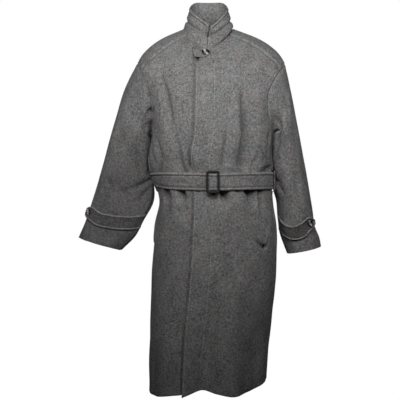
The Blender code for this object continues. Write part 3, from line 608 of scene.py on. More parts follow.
def ripples(angle, along, fewer=0):
    """The slight unevenness of worn cloth, with fewer waves round a narrow piece."""
    total = 0.0
    for waves_round, waves_up, phase, height in RIPPLES:
        wave = np.sin((waves_round - fewer) * angle + math.tau * waves_up * along + phase)
        total = total + height * wave
    return total


def coat_rise(psi, level, reach, creased):
    """How far folds, creases and unevenness lift the coat's cloth."""
    total = sum(one_fold(psi, level, reach, *fold) for fold in FOLDS)
    if creased:
        total = total + sum(one_fold(psi, level, reach, *crease) for crease in CREASES)
        below_neck = ease((NECK - level) / ARMHOLE_REACH)
        total = total + ripples(psi, level) * off_belt(level) * below_neck
    return total


def body_section(level):
    """The columns of BODY after the level itself, one array each."""
    table = np.array(BODY)
    found = smooth_through(table[:, 0], table[:, 1:], level)
    return np.moveaxis(found, -1, 0)


def body_point(psi, level, creased=True):
    """A point of the coat's outer face.  psi runs round from the centre front."""
    psi, level = np.broadcast_arrays(np.asarray(psi, float), np.asarray(level, float))
    half_width, front, back, centre_x, turn, front_drop, back_drop = body_section(level)
    angle = psi + np.radians(turn)
    reach = ring_reach(angle, half_width, front, back, body_squareness(level))
    reach = reach + coat_rise(psi, level, reach, creased)
    ahead = np.cos(angle)
    drop = np.where(ahead > 0, front_drop, back_drop) * np.abs(ahead) ** DROP_POWER
    degrees = (np.degrees(angle) + 180) % 360 - 180
    hem = np.array(HEM_LINE)
    hang = smooth_through(hem[:, 0], hem[:, 1], degrees)
    hang = hang * near_hem(level)
    return np.stack(
        [centre_x + reach * np.sin(angle), -reach * ahead, level - drop + hang], axis=-1
    )


def smooth_point(psi, level):
    """A point of the coat's outer face without its creases, as under the belt and the tab."""
    return body_point(psi, level, creased=False)


def normals_of(surface, first, second, small=NORMAL_STEP):
    """Unit normals of a surface from points a little to each side."""
    along = surface(first + small, second) - surface(first - small, second)
    up = surface(first, second + small) - surface(first, second - small)
    return unit(np.cross(along, up))


def stand_off(psi, level, out, surface=body_point):
    """Points standing off the coat's face by the distance out."""
    psi, level = np.broadcast_arrays(np.asarray(psi, float), np.asarray(level, float))
    return surface(psi, level) + np.asarray(out)[..., None] * normals_of(surface, psi, level)


def grid_lengths(points):
    """Distances of grid points from the first column, the last one, and both end rows."""
    across = np.linalg.norm(np.diff(points, axis=1), axis=-1)
    along = np.linalg.norm(np.diff(points, axis=0), axis=-1)
    first = np.pad(np.cumsum(across, axis=1), ((0, 0), (1, 0)))
    low = np.pad(np.cumsum(along, axis=0), ((1, 0), (0, 0)))
    return first, first[:, -1:] - first, low, low[-1:] - low


def stitched_edge(distance, inset, roll=EDGE_ROLL, depth=STITCH_DEPTH):
    """A soft roll along an edge, closed off by the groove of its stitching."""
    rolled = roll * np.sin(math.pi * np.clip(distance / inset, 0, 1))
    return rolled - stitch_groove(distance, inset, depth)


def stitch_groove(distance, inset, depth=STITCH_DEPTH):
    return depth * bell(distance - inset, STITCH_WIDTH)


def seam_dip(distance):
    """Cloth drawn in along a seam and puffed a little beside it."""
    puff = SEAM_PUFF * bell(distance - SEAM_PUFF_AT, SEAM_PUFF_WIDTH)
    return puff - SEAM_DIP * bell(distance, SEAM_DIP_WIDTH)


def seam_shows(side, level):
    """The wearer's right sleeve runs so smoothly into the chest that the seam hardly shows."""
    hidden = ease((HIDDEN_SEAM_TOP - level) / HIDDEN_SEAM_EASE) * ease((level - ARMPIT) / SLEEVE_HEAD)
    return 1 - hidden * (1 if side == "right" else 1 - ARMHOLE_DIP)


def line_across(points, distance, inset, lift=STITCH_THICK / 4):
    """The line of places in each row that lie a given distance from an edge."""
    found = []
    for row, run in zip(points, distance):
        order = np.argsort(run)
        found.append([np.interp(inset, run[order], row[order, axis]) for axis in range(3)])
    line = np.array(found)
    along = np.gradient(line, axis=0)
    outwards = np.cross(along, points[:, -1] - points[:, 0])
    return line + lift * unit(outwards)


def line_along(points, distance, inset):
    """The line of places in each column that lie a given distance from an edge."""
    return line_across(points.transpose(1, 0, 2), distance.T, inset)


def add_object(name, data):
    """A new object in the scene, at the origin."""
    made = bpy.data.objects.new(name, data)
    bpy.context.scene.collection.objects.link(made)
    return made


def make_object(name, points, faces, finish, cloth_place=None):
    """A named object with smooth faces turned outwards, and its cloth's own flat map."""
    mesh = bpy.data.meshes.new(name)
    first, second, third = (points[faces[:, k]] for k in range(3))
    fourth = points[faces[:, -1]]
    volume = np.sum(first * np.cross(second, third)) + np.sum(first * np.cross(third, fourth))
    if volume < 0:
        faces = faces[:, ::-1]
    mesh.from_pydata(points.tolist(), [], faces.tolist())
    mesh.polygons.foreach_set("use_smooth", np.ones(len(mesh.polygons), bool))
    if cloth_place is not None:
        corners = np.zeros(len(mesh.loops), np.int32)
        mesh.loops.foreach_get("vertex_index", corners)
        flat = mesh.uv_layers.new(name="cloth")
        flat.data.foreach_set("uv", cloth_place[corners].astype(np.float32).ravel())
    mesh.materials.append(finish)
    return add_object(name, mesh)


def faces_between(rings):
    """Faces from each closed ring of points to the next one."""
    here, there = rings[:-1], rings[1:]
    corners = [here, np.roll(here, -1, axis=1), np.roll(there, -1, axis=1), there]
    return np.stack(corners, axis=-1).reshape(-1, 4)


def make_cloth(name, outer, inner, finish, straight_column=0, turned=False):
    """A thin wall of cloth between two grids of points, with rounded edges.

    The grain runs along the grid's columns and is straight at one of them."""
    rows, columns = outer.shape[:2]
    first, _, low, _ = grid_lengths(outer)
    place = np.stack([first - first[:, straight_column : straight_column + 1], low], axis=-1)
    if turned:
        place = place[..., ::-1]
    away = np.zeros(outer.shape)
    away[:, 0] += unit(outer[:, 0] - outer[:, 1])
    away[:, -1] += unit(outer[:, -1] - outer[:, -2])
    away[0] += unit(outer[0] - outer[1])
    away[-1] += unit(outer[-1] - outer[-2])
    edge = [(r, 0) for r in range(rows)]
    edge += [(rows - 1, c) for c in range(1, columns)]
    edge += [(r, columns - 1) for r in range(rows - 2, -1, -1)]
    edge += [(0, c) for c in range(columns - 2, 0, -1)]
    at_edge = tuple(np.array(edge).T)
    middle = (outer + inner)[at_edge] / 2
    half = (outer - inner)[at_edge] / 2
    thick = np.linalg.norm(half, axis=-1, keepdims=True)
    outwards = unit(away[at_edge])
    turns = np.linspace(0, math.pi, RIM_STEPS + 2)[1:-1]
    rims = [middle + half * math.cos(a) + outwards * thick * math.sin(a) for a in turns]
    count = rows * columns
    points = np.concatenate([outer.reshape(-1, 3), inner.reshape(-1, 3)] + rims)
    places = np.concatenate([place.reshape(-1, 2)] * 2 + [place[at_edge]] * RIM_STEPS)
    index = np.arange(count).reshape(rows, columns)
    quads = np.stack([index[:-1, :-1], index[:-1, 1:], index[1:, 1:], index[1:, :-1]], axis=-1)
    quads = quads.reshape(-1, 4)
    rings = [index[at_edge]]
    rings += [2 * count + len(edge) * k + np.arange(len(edge)) for k in range(RIM_STEPS)]
    rings += [index[at_edge] + count]
    faces = [quads, quads[:, ::-1] + count, faces_between(np.array(rings))]
    return make_object(name, points, np.concatenate(faces), finish, places)


def finish_part(made, finish, where):
    """Give another finish to the outer faces of cloth at grid points where that holds."""
    made.data.materials.append(finish)
    index = len(made.data.materials) - 1
    inside = where[1:, 1:] & where[:-1, :-1]
    for face, chosen in zip(made.data.polygons, inside.ravel().tolist()):
        if chosen:
            face.material_index = index


def armhole(tau, spread=0.0):
    """Angle and level round an armhole; tau runs from its top over the back."""
    swing = np.where(np.sin(tau) > 0, ARMHOLE_BACK, ARMHOLE_FRONT)
    middle = (SHOULDER + ARMPIT) / 2
    half = (SHOULDER - ARMPIT) / 2
    psi = math.pi / 2 + (np.radians(swing) + spread / ARMHOLE_REACH) * np.sin(tau)
    return psi, middle + (half + spread) * np.cos(tau)


def outer_edge(behind):
    """Angle and level up a panel's outer edge: side seam, armhole, shoulder seam."""
    gap = SEAM_EDGE / ARMHOLE_REACH
    gap = gap if behind else -gap
    skirt = np.linspace(HEM, ARMPIT, SKIRT_ROWS)[:-1]
    top = SHOULDER_STATION if behind else SHOULDER_STATION + 360
    stations = np.linspace(ARMPIT_STATION, top, HOLE_ROWS)
    psi_hole, level_hole = armhole(np.radians(stations), SEAM)
    up = np.linspace(0, 1, SHOULDER_ROWS + 1)[1:]
    neck = math.radians(SHOULDER_SEAM_NECK)
    psi_shoulder = psi_hole[-1] + (neck - psi_hole[-1]) * up
    level_shoulder = level_hole[-1] + (NECK - level_hole[-1]) * up
    psi_hole[0] = psi_hole[0] + gap
    side = np.full(len(skirt), math.radians(SIDE_SEAM)) + gap
    psi = np.concatenate([side, psi_hole, psi_shoulder + gap])
    return psi, np.concatenate([skirt, level_hole, level_shoulder])


def edge_angle(distance, level):
    """The angle round from the centre front of a place that far from it."""
    front = body_section(level)[1]
    return np.arcsin(distance / front)


def front_lean(level):
    """How far the left front's edge leans out past the overlap, up to the neck."""
    return FRONT_LEAN * ease((level - BELT) / (NECK - BELT))


def free_of_belt(level):
    """1 where neither the belt nor the throat tab holds the fronts down."""
    return off_belt(level) * ease((TAB_CLEAR - level) / BELT_HALF)


def front_grid(left):
    """Angles and levels of a front panel, from its free edge to its outer edge."""
    psi_outer, level_outer = outer_edge(behind=False)
    lean = front_lean(level_outer) if left else 0 * level_outer
    near = edge_angle(FRONT_INSETS - OVERLAP - lean[:, None], level_outer[:, None] + 0 * FRONT_INSETS)
    rest = near[:, -1:] + (psi_outer[:, None] - near[:, -1:]) * FRONT_SHARES
    psi = np.concatenate([near, rest], axis=1)
    share = (psi - psi[:, :1]) / (psi[:, -1:] - psi[:, :1])
    near_edge = (1 - share) ** NECK_CUT_POWER
    high = ease((level_outer - NECK + NECK_CUT_HEIGHT) / NECK_CUT_HEIGHT)
    low = near_hem(level_outer)
    cut = NECK_CUT * high[:, None] + CORNER_DROP * (1 if left else -1) * low[:, None]
    return psi, level_outer[:, None] - cut * near_edge


def make_front(left, finish):
    """One front, stitched along its edge and down the fly; the right one lies under."""
    psi, level = front_grid(left)
    depth = np.zeros(psi.shape)
    if not left:
        psi = -psi
        distance = np.sin(np.clip(psi, -1, 1)) * body_section(level)[1]
        depth = (CLOTH + FRONT_LIE) * ease((distance + OVERLAP + UNDERLAP_EASE) / UNDERLAP_EASE)
        beside = distance + OVERLAP + front_lean(level) + FRONT_PRESS_AT
        press = FRONT_PRESS + FRONT_PRESS_HEM * near_hem(level)
        depth = depth + press * free_of_belt(level) * bell(beside, FRONT_PRESS_WIDTH)
    depth = depth - one_fold(np.abs(psi), level, body_section(level)[0], *POCKET_HOLLOW)
    base = stand_off(psi, level, -depth)
    from_edge, from_seam, _, _ = grid_lengths(base)
    detail = seam_dip(from_seam) * seam_shows("left" if left else "right", level[:, -1:])
    lines = []
    if left:
        detail = detail + stitched_edge(from_edge, FRONT_STITCH, FRONT_ROLL)
        detail = detail - stitch_groove(from_edge, FLY_STITCH)
        depth = depth - FRONT_LIFT * free_of_belt(level) * (1 - ease(from_edge / FRONT_LIFT_WIDTH))
    outer = stand_off(psi, level, detail - depth)
    inner = stand_off(psi, level, -depth - CLOTH)
    if left:
        lines = [line_across(outer, from_edge, inset) for inset in (FRONT_STITCH, FLY_STITCH)]
    name = "left_front_panel" if left else "right_front_panel"
    return make_cloth(name, outer, inner, finish), lines


def make_back(finish):
    """One back panel, up over the shoulders to the seams in front of them."""
    psi_outer, level_outer = outer_edge(behind=True)
    highest = int(np.argmax(level_outer[:-SHOULDER_ROWS]))
    middle = level_outer.copy()
    middle[highest:] = np.linspace(middle[highest], NECK, len(middle) - highest)
    psi = math.pi + (math.pi - psi_outer)[:, None] * BACK_ACROSS
    level = middle[:, None] + (level_outer - middle)[:, None] * np.abs(BACK_ACROSS) ** YOKE_POWER
    base = body_point(psi, level)
    from_first, from_last, _, _ = grid_lengths(base)
    detail = seam_dip(from_first) + seam_dip(from_last)
    outer = stand_off(psi, level, detail)
    inner = stand_off(psi, level, -CLOTH)
    return make_cloth("back_panel", outer, inner, finish, straight_column=len(BACK_ACROSS) // 2)


def half_depth(girth, half_width):
    """The second half-axis of ellipses of that girth and first half-axis."""
    low = np.zeros(len(girth))
    high = girth / 4
    for _ in range(HALVINGS):
        depth = (low + high) / 2
        total = half_width + depth
        root = np.sqrt((3 * half_width + depth) * (half_width + 3 * depth))
        long_enough = math.pi * (3 * total - root) > girth
        high = np.where(long_enough, depth, high)
        low = np.where(long_enough, low, depth)
    return depth


def clear_of_body(points):
    """Push points that would lie in the body or the belt out to its side."""
    x, y, z = np.moveaxis(points, -1, 0)
    level = np.clip(z, HEM, ARMPIT)
    half_width, front, back, centre_x, *_ = body_section(level)
    angle = np.arctan2(x - centre_x, -y)
    belt = SLEEVE_BELT_CLEAR * ease((BELT_HALF * 2 - np.abs(z - BELT)) / BELT_HALF)
    least = ring_reach(angle, half_width, front, back, body_squareness(level)) + SLEEVE_CLEAR + belt
    spare = np.hypot(x - centre_x, y) - least
    pushed = least + (spare + np.hypot(spare, SLEEVE_SOFTEN)) / 2
    below = ease((ARMPIT - z) / SLEEVE_HEAD)
    x = x + (centre_x + np.sin(angle) * pushed - x) * below
    y = y + (-np.cos(angle) * pushed - y) * below
    return np.stack([x, y, z], axis=-1)


def armhole_middle(side):
    return np.array([SIDE_SIGN[side] * SLEEVE_MIDDLE_X, 0.0, (SHOULDER + ARMPIT) / 2])


def sleeve_sections(side, tau):
    """Points at each angle tau of the armhole and of every section down a sleeve."""
    sign = SIDE_SIGN[side]
    outer_x, outer_z, inner_x, inner_z, centre_y, girth = np.array(SLEEVES[side]).T
    outer = np.stack([sign * outer_x, centre_y, outer_z], axis=-1)
    inner = np.stack([sign * inner_x, centre_y, inner_z], axis=-1)
    half = np.linalg.norm(outer - inner, axis=1) / 2
    depth = half_depth(girth, half)
    middle = (outer + inner) / 2
    towards = (outer - inner) / 2
    rings = middle[:, None] + towards[:, None] * np.cos(tau)[None, :, None]
    rings[:, :, 1] += depth[:, None] * np.sin(tau)
    psi, level = armhole(tau)
    hole = body_point(sign * psi, level)
    centres = np.concatenate([[armhole_middle(side)], middle])
    along = np.concatenate([[0], np.cumsum(np.linalg.norm(np.diff(centres, axis=0), axis=1))])
    return along, np.concatenate([hole[None], rings])


def sleeve_length(side):
    along, _ = sleeve_sections(side, np.array([0.0]))
    return along[-1]


def sleeve_points(side, tau, down):
    """A grid of points on a sleeve's outer face: rows down it, columns round it."""
    along, sections = sleeve_sections(side, tau)
    points = smooth_through(along, sections, down)
    pushed = clear_of_body(points)
    return points + (pushed - points) * ease(down / SLEEVE_HEAD)[:, None, None]


def sleeve_normals(side, tau, down, small=NORMAL_STEP):
    """Outward normals of a sleeve; at the armhole they are the body's own."""
    sign = SIDE_SIGN[side]
    round_it = sleeve_points(side, tau + small, down) - sleeve_points(side, tau - small, down)
    down_it = sleeve_points(side, tau, down + small) - sleeve_points(side, tau, down - small)
    normals = unit(np.cross(round_it, down_it)) * -sign
    psi, level = armhole(tau)
    at_hole = normals_of(body_point, sign * psi, level)
    blend = ease(down / SLEEVE_HEAD)[:, None, None]
    return unit(at_hole[None] * (1 - blend) + normals * blend)


def sleeve_rise(side, tau, down):
    """How far creases and unevenness lift a sleeve's cloth."""
    angle, along = np.broadcast_arrays(tau[None, :], down[:, None])
    total = sum(one_fold(angle, along, SLEEVE_RADIUS, *crease) for crease in SLEEVE_CREASES[side])
    return total + ripples(angle, along, SLEEVE_FEWER_WAVES) * ease(along / SLEEVE_HEAD)


def make_sleeve(side, finish):
    """The top and under sleeve of one arm."""
    gap = SEAM_EDGE / SLEEVE_RADIUS
    spans = {
        "top": (FRONT_SEAM_STATION - 360, BACK_SEAM_STATION),
        "under": (BACK_SEAM_STATION, FRONT_SEAM_STATION),
    }
    rows = np.linspace(0, 1, SLEEVE_ROWS) ** SLEEVE_ROW_POWER
    down = sleeve_length(side) * rows
    made = []
    for part, (start, end) in spans.items():
        count = int((end - start) / SLEEVE_STEP)
        tau = np.linspace(math.radians(start) + gap, math.radians(end) - gap, count)
        normals = sleeve_normals(side, tau, down)
        points = sleeve_points(side, tau, down) + sleeve_rise(side, tau, down)[..., None] * normals
        from_first, from_last, from_hole, _ = grid_lengths(points)
        shows = np.where(np.sin(tau) < 0, seam_shows(side, armhole(tau)[1]), 1.0)
        detail = seam_dip(from_first) + seam_dip(from_last) + shows * seam_dip(from_hole)
        outer = points + detail[..., None] * normals
        name = f"{side}_{part}_sleeve"
        middle = count // 2
        made.append(make_cloth(name, outer, points - CLOTH * normals, finish, straight_column=middle))
    return made


def strap_places(side):
    """Angles round the sleeve, and the middle and half width of the strap there."""
    degrees = np.linspace(FRONT_SEAM_STATION - 360, STRAP_END[side], STRAP_COLUMNS)
    line = np.array(STRAPS[side])
    middle = smooth_through(line[:, 0], line[:, 1], degrees)
    point = np.array(STRAP_POINT)
    half = STRAP_HALF * np.interp(STRAP_END[side] - degrees, point[:, 0], point[:, 1])
    return np.radians(degrees), middle, half


def make_strap(side, finish, middle_finish):
    """A strap from the front sleeve seam to a point held by a button."""
    tau, middle, half = strap_places(side)
    length = sleeve_length(side)
    across = np.linspace(-1, 1, STRAP_ROWS)
    base = np.zeros((STRAP_ROWS, STRAP_COLUMNS, 3))
    normals = np.zeros(base.shape)
    for i in range(STRAP_COLUMNS):
        down = length - middle[i] - across * half[i]
        here = tau[i : i + 1]
        normals[:, i] = sleeve_normals(side, here, down)[:, 0]
        lifted = sleeve_rise(side, here, down)[:, 0, None] * normals[:, i]
        base[:, i] = sleeve_points(side, here, down)[:, 0] + lifted
    from_root, from_tip, from_low, from_high = grid_lengths(base)
    full = 1 - STRAP_ROOT_FLAT * (1 - ease(from_root / STRAP_ROOT))[..., None]
    inner = base + STRAP_LIE * full * normals
    outer = inner + DOUBLED * full * normals
    from_edge = np.minimum(np.minimum(from_low, from_high), from_tip)
    sunk = STRAP_SINK * ease((from_edge - STRAP_STITCH) / STRAP_STITCH)
    detail = stitched_edge(from_edge, STRAP_STITCH, STRAP_ROLL, BAND_DEPTH) - sunk
    outer = outer + detail[..., None] * full * normals
    lines = [line_along(outer, edge, STRAP_STITCH) for edge in (from_low, from_high)]
    lines = [line[: int(STRAP_COLUMNS * STRAP_STITCHED)] for line in lines]
    made = make_cloth(f"{side}_sleeve_strap", outer, inner, finish, turned=True)
    # the middle of the strap takes the darker copy of the wool: painted shade
    finish_part(made, middle_finish, from_edge > STRAP_STITCH - STITCH_WIDTH)
    spot = int(np.argmin(np.abs(np.degrees(tau) - STRAP_BUTTON[side])))
    return made, lines, outer[STRAP_ROWS // 2, spot], normals[STRAP_ROWS // 2, spot]


def collar_points(name, angle, steps):
    """Points round sections of one band of the collar, at steps from its lower edge up."""
    sections = np.array(COLLARS[name])
    rows = []
    for row in smooth_through(np.arange(len(sections)), sections, steps):
        half_width, front, back, side_z, front_z, back_z, vee, square = row
        reach = ring_reach(angle, half_width, front, back)
        ahead = np.cos(angle)
        round_neck = 1 - np.abs(ahead) ** DROP_POWER
        share = vee * np.abs(np.sin(angle)) + (1 - vee) * round_neck
        to_front = front_z + (side_z - front_z) * share
        level_share = (1 - np.abs(np.sin(angle)) ** square) ** (DROP_POWER / 2)
        to_back = side_z + (back_z - side_z) * level_share
        z = np.where(ahead > 0, to_front, to_back)
        x = COLLAR_CENTRE_X + reach * np.sin(angle)
        rows.append(np.stack([x, -reach * ahead, z], axis=-1))
    return np.array(rows)


def make_collar(name, cad_name, finish, edge_finish):
    """One band of the collar, turned up, its ends meeting at the centre front."""
    leaf = cad_name == "collar_leaf"
    front = COLLARS[cad_name][0][1]
    end = (COLLAR_END[cad_name] + DOUBLED / 2) / front
    angle = np.linspace(end, math.tau - end, COLLAR_STEPS + 1) + COLLAR_SLIT / front
    steps = np.linspace(0, len(COLLARS[cad_name]) - 1, COLLAR_ROWS)
    base = collar_points(cad_name, angle, steps)
    if leaf:
        in_front = np.clip(np.cos(angle), 0, 1) ** COLLAR_POWER
        base[..., 0] += SLIT_LEAN * ease(steps / steps[-1])[:, None] * in_front
    outwards = np.stack([np.sin(angle), -np.cos(angle), np.zeros(len(angle))], axis=-1)
    from_first, from_last, from_low, from_top = grid_lengths(base)
    from_end = np.minimum(from_first, from_last)
    if leaf:
        full = 1 - COLLAR_SIDE_FLAT * np.sin(angle) ** COLLAR_POWER
        from_edge = np.minimum(from_end, from_top)
        detail = stitched_edge(from_edge, COLLAR_STITCH, COLLAR_ROLL * full, COLLAR_GROOVE)
        detail = detail + LEAF_PUFF * bell(from_low - LEAF_PUFF_AT, LEAF_PUFF_WIDTH)
        detail = detail - LEAF_DIP * full * bell(from_low - LEAF_DIP_AT, LEAF_DIP_WIDTH)
    else:
        sewn_in = ease(STAND_SEWN + np.sin(angle))
        spread = bell(from_low, STAND_FLARE_WIDTH) * (1 - sewn_in)
        turn = STAND_TURN * bell(from_top, STAND_TURN_WIDTH)
        detail = seam_dip(from_low) * sewn_in + STAND_FLARE * spread - turn
        detail = detail + EDGE_ROLL * bell(from_end, COLLAR_STITCH)
        base[..., 2] -= STAND_TUCK * spread
    outer = base + detail[..., None] * outwards
    made = make_cloth(name, outer, base - DOUBLED * outwards, finish, turned=True)
    lines = []
    if leaf:
        lines = [line_along(outer, from_top, COLLAR_STITCH)[COLLAR_BARE:-COLLAR_BARE]]
        # the rolled top edge takes the paler copy: rubbing and painted highlight
        finish_part(made, edge_finish, from_top < COLLAR_STITCH - STITCH_WIDTH)
    return made, lines


def belt_height(run):
    """How far the belt's inner face stands off the coat, by its run from the bar."""
    full = math.tau * body_section(BELT)[1]
    second_layer = BELT_LIE + BELT_CLOTH + LIE
    start = BELT_LIE + (BAR_RISE - BELT_LIE) * (1 - ease(run / BAR_EASE))
    over = BELT_LIE + (OVER_BAR - BELT_LIE) * ease((run - full + BAR_EASE) / BAR_EASE)
    past = second_layer + (OVER_BAR - second_layer) * (1 - ease((run - full) / BAR_EASE))
    return np.where(run > full, past, np.where(run > full / 2, over, start))


def make_belt(finish, edge_finish):
    """The belt, wound once round and on over itself to its free end."""
    front = float(body_section(BELT)[1])
    run = np.linspace(BELT_START, math.tau * front + math.radians(BELT_END_ANGLE) * front, BELT_STEPS)
    height = belt_height(run)
    belt_middle = float(body_section(BELT)[3])
    angle = math.asin((BUCKLE_X - belt_middle) / front) + run / front
    sag = BELT_SAG * np.clip(np.cos(angle), 0, 1) ** 2
    past_loop = np.degrees(wrapped(angle - math.radians(BELT_PINCH_ANGLE)))
    gathered = bell(past_loop, BELT_PINCH_SPREAD)
    edges = []
    for offset, pinch in ((-BELT_HALF, BELT_PINCH_LOW), (BELT_HALF, BELT_PINCH_HIGH)):
        level = BELT - sag + offset * (1 - pinch * gathered)
        sideways = belt_middle - body_section(level)[3]
        psi = angle - np.radians(body_section(level)[4]) + sideways * np.cos(angle) / front
        edges.append([stand_off(psi, level, height + t, smooth_point) for t in (0, BELT_CLOTH)])
    (low_in, low_out), (high_in, high_out) = edges
    share = np.linspace(0, 1, BELT_ROWS)[:, None, None]
    inner = low_in + (high_in - low_in) * share
    outer = low_out + (high_out - low_out) * share
    normals = unit(outer - inner)
    _, _, from_low, from_high = grid_lengths(outer)
    from_edge = np.minimum(from_low, from_high)
    along = wrapped(angle - math.radians(BELT_DENT_ANGLE)) * front
    dent = bell(along, BELT_DENT_LENGTH) * bell(from_low - BELT_DENT_UP, BELT_DENT_HEIGHT)
    detail = stitched_edge(from_edge, BELT_STITCH, BAND_ROLL, BAND_DEPTH) - BELT_DENT * dent
    outer = outer + detail[..., None] * normals
    lines = [line_along(outer, edge, BELT_STITCH) for edge in (from_low, from_high)]
    made = make_cloth("cloth_belt", outer, inner, finish, turned=True)
    # the rolled edges take the paler copy: rubbing and painted highlight
    finish_part(made, edge_finish, from_edge < BELT_STITCH - STITCH_WIDTH)
    return made, lines


def make_loop(side, layers, finish):
    """A strip on the side seam that stands over the belt, straight between its bends."""
    over = BELT_LIE + layers * (BELT_CLOTH + LIE)
    path = np.array(
        (
            (-LOOP_REACH, LIE),
            (-LOOP_FOOT, LIE),
            (-LOOP_SHOULDER, over),
            (LOOP_SHOULDER, over),
            (LOOP_FOOT, LIE),
            (LOOP_REACH, LIE),
        )
    )
    level = BELT + path[:, :1] + np.zeros((1, LOOP_COLUMNS))
    half = LOOP_HALF_WIDTH / body_section(level)[0]
    psi = SIDE_SIGN[side] * math.radians(SIDE_SEAM) + half * np.linspace(-1, 1, LOOP_COLUMNS)
    offset = np.linspace(-LOOP_REACH, LOOP_REACH, LOOP_ROWS)
    walls = []
    for out in (LOOP_CLOTH, 0):
        bends = stand_off(psi, level, path[:, 1:] + out + 0 * psi, smooth_point).reshape(len(path), -1)
        wall = [np.interp(offset, path[:, 0], line) for line in bends.T]
        walls.append(np.array(wall).T.reshape(LOOP_ROWS, LOOP_COLUMNS, 3))
    return make_cloth(f"{side}_belt_carrier", *walls, finish)


def make_welt(side, finish):
    """A slanting welt, pressed flat but for its free edge, which gapes lower down."""
    t = np.linspace(0, 1, WELT_ROWS)[:, None]
    across = np.linspace(0, 1, WELT_COLUMNS)[None]
    level = WELT_TOP + (WELT_BOTTOM - WELT_TOP) * t + 0 * across
    free = np.radians(WELT_TOP_ANGLE + (WELT_BOTTOM_ANGLE - WELT_TOP_ANGLE) * t)
    psi = SIDE_SIGN[side] * (free - (1 - across) * WELT_WIDTH / body_section(level)[0])
    open_share = ease(t / WELT_GAPE_GROW) * ease((1 - t) / WELT_GAPE_FADE)
    standing = across**2 * ease(t / WELT_GAPE_GROW) * ease((1 - t) / WELT_PRESSED_END)
    full = WELT_PRESSED + (1 - WELT_PRESSED) * standing
    out = WELT_LIE * full + WELT_GAPE * across**3 * open_share
    outer = stand_off(psi, level, out + CLOTH * full)
    inner = stand_off(psi, level, out)
    return make_cloth(f"{side}_hip_welt", outer, inner, finish)


def tab_level(distance):
    """The level of the tab's middle line, which slopes up to its point."""
    return np.interp(distance, (TAB_START, TAB_END), (TAB_LOW_END, TAB_HIGH_END))


def make_tab(finish):
    """A short tab across the throat under the collar."""
    distance = np.linspace(TAB_START, TAB_END, TAB_COLUMNS)
    last = ease((distance - TAB_END) / TAB_HALF + 1)
    half = TAB_HALF * (1 - (1 - TAB_TIP) * last)
    level = tab_level(distance) + half * np.linspace(-1, 1, TAB_ROWS)[:, None]
    psi = edge_angle(distance + 0 * level, level)
    outer = stand_off(psi, level, TAB_STAND, smooth_point)
    _, from_tip, from_low, from_high = grid_lengths(outer)
    from_edge = np.minimum(np.minimum(from_low, from_high), from_tip)
    stitched = TAB_STAND + stitched_edge(from_edge, TAB_STITCH, TAB_ROLL)
    outer = stand_off(psi, level, stitched, smooth_point)
    lines = [line_along(outer, edge, TAB_STITCH) for edge in (from_low, from_high)]
    inner = stand_off(psi, level, TAB_STAND - CLOTH, smooth_point)
    made = make_cloth("tab_at_throat", outer, inner, finish, turned=True)
    level = tab_level(np.array([TAB_BUTTON_AT]))
    psi = edge_angle(np.array([TAB_BUTTON_AT]), level)
    place = stand_off(psi, level, TAB_STAND, smooth_point)[0]
    facing = normals_of(smooth_point, psi, level)[0]
    return made, lines, place, facing


def settle(made):
    """Turn an object with its modifiers into a plain mesh."""
    bpy.context.view_layer.update()
    solved_object = made.evaluated_get(bpy.context.evaluated_depsgraph_get())
    solved = bpy.data.meshes.new_from_object(solved_object)
    made.modifiers.clear()
    made.data = solved


def mesh_from(work, name):
    """A new mesh from bmesh work that is finished."""
    mesh = bpy.data.meshes.new(name)
    work.to_mesh(mesh)
    work.free()
    return mesh


def make_button(name, place, facing, radius, finish, thread):
    """A turned button with a raised rim and four holes, sewn on with crossed thread."""
    work = bmesh.new()
    points = [work.verts.new((r * radius, 0.0, h * BUTTON_THICK)) for r, h in BUTTON_OUTLINE]
    edges = [work.edges.new(pair) for pair in zip(points, points[1:])]
    bmesh.ops.spin(
        work, geom=points + edges, cent=(0, 0, 0), axis=(0, 0, 1), angle=math.tau,
        steps=BUTTON_STEPS, use_merge=True,
    )
    bmesh.ops.remove_doubles(work, verts=work.verts, dist=BUTTON_MERGE)
    bmesh.ops.recalc_face_normals(work, faces=work.faces)
    made = add_object(name, mesh_from(work, name))
    made.data.materials.append(finish)
    work = bmesh.new()
    places = [(x * HOLE_PLACE * radius, y * HOLE_PLACE * radius) for x in (-1, 1) for y in (-1, 1)]
    for x, y in places:
        bmesh.ops.create_cone(
            work, cap_ends=True, segments=HOLE_STEPS, radius1=HOLE_RADIUS * radius,
            radius2=HOLE_RADIUS * radius, depth=4 * BUTTON_THICK, matrix=Matrix.Translation((x, y, 0)),
        )
    drill = add_object("drill", mesh_from(work, "drill"))
    holes = made.modifiers.new("holes", "BOOLEAN")
    holes.operation = "DIFFERENCE"
    holes.solver = "EXACT"
    holes.object = drill
    settle(made)
    bpy.data.objects.remove(drill)
    work = bmesh.new()
    work.from_mesh(made.data)
    first_thread_face = len(work.faces)
    height = BUTTON_THICK * BUTTON_OUTLINE[-1][1]
    for start, end in ((places[0], places[3]), (places[1], places[2])):
        middle = Vector(((start[0] + end[0]) / 2, (start[1] + end[1]) / 2, height))
        length = math.dist(start, end) + THREAD_THICK
        angle = math.atan2(end[1] - start[1], end[0] - start[0])
        shape = Matrix.Diagonal((length / 2, THREAD_THICK / 2, THREAD_THICK / 2, 1))
        bmesh.ops.create_uvsphere(
            work, u_segments=THREAD_STEPS, v_segments=THREAD_RINGS, radius=1,
            matrix=Matrix.Translation(middle) @ Matrix.Rotation(angle, 4, "Z") @ shape,
        )
    work.faces.ensure_lookup_table()
    for face in work.faces[first_thread_face:]:
        face.material_index = 1
    turned = work.loops.layers.uv.new("turned")
    for face in work.faces:
        for corner in face.loops:
            corner[turned].uv = corner.vert.co.xy / radius
    facing = Vector(facing)
    turn = facing.to_track_quat("Z", "Y").to_matrix().to_4x4()
    work.transform(Matrix.Translation(Vector(place) + facing * LIE) @ turn)
    work.to_mesh(made.data)
    work.free()
    made.data.materials.append(thread)
    made.data.shade_smooth()
    made.data.set_sharp_from_angle(angle=math.radians(BUTTON_SHARP))
    return made


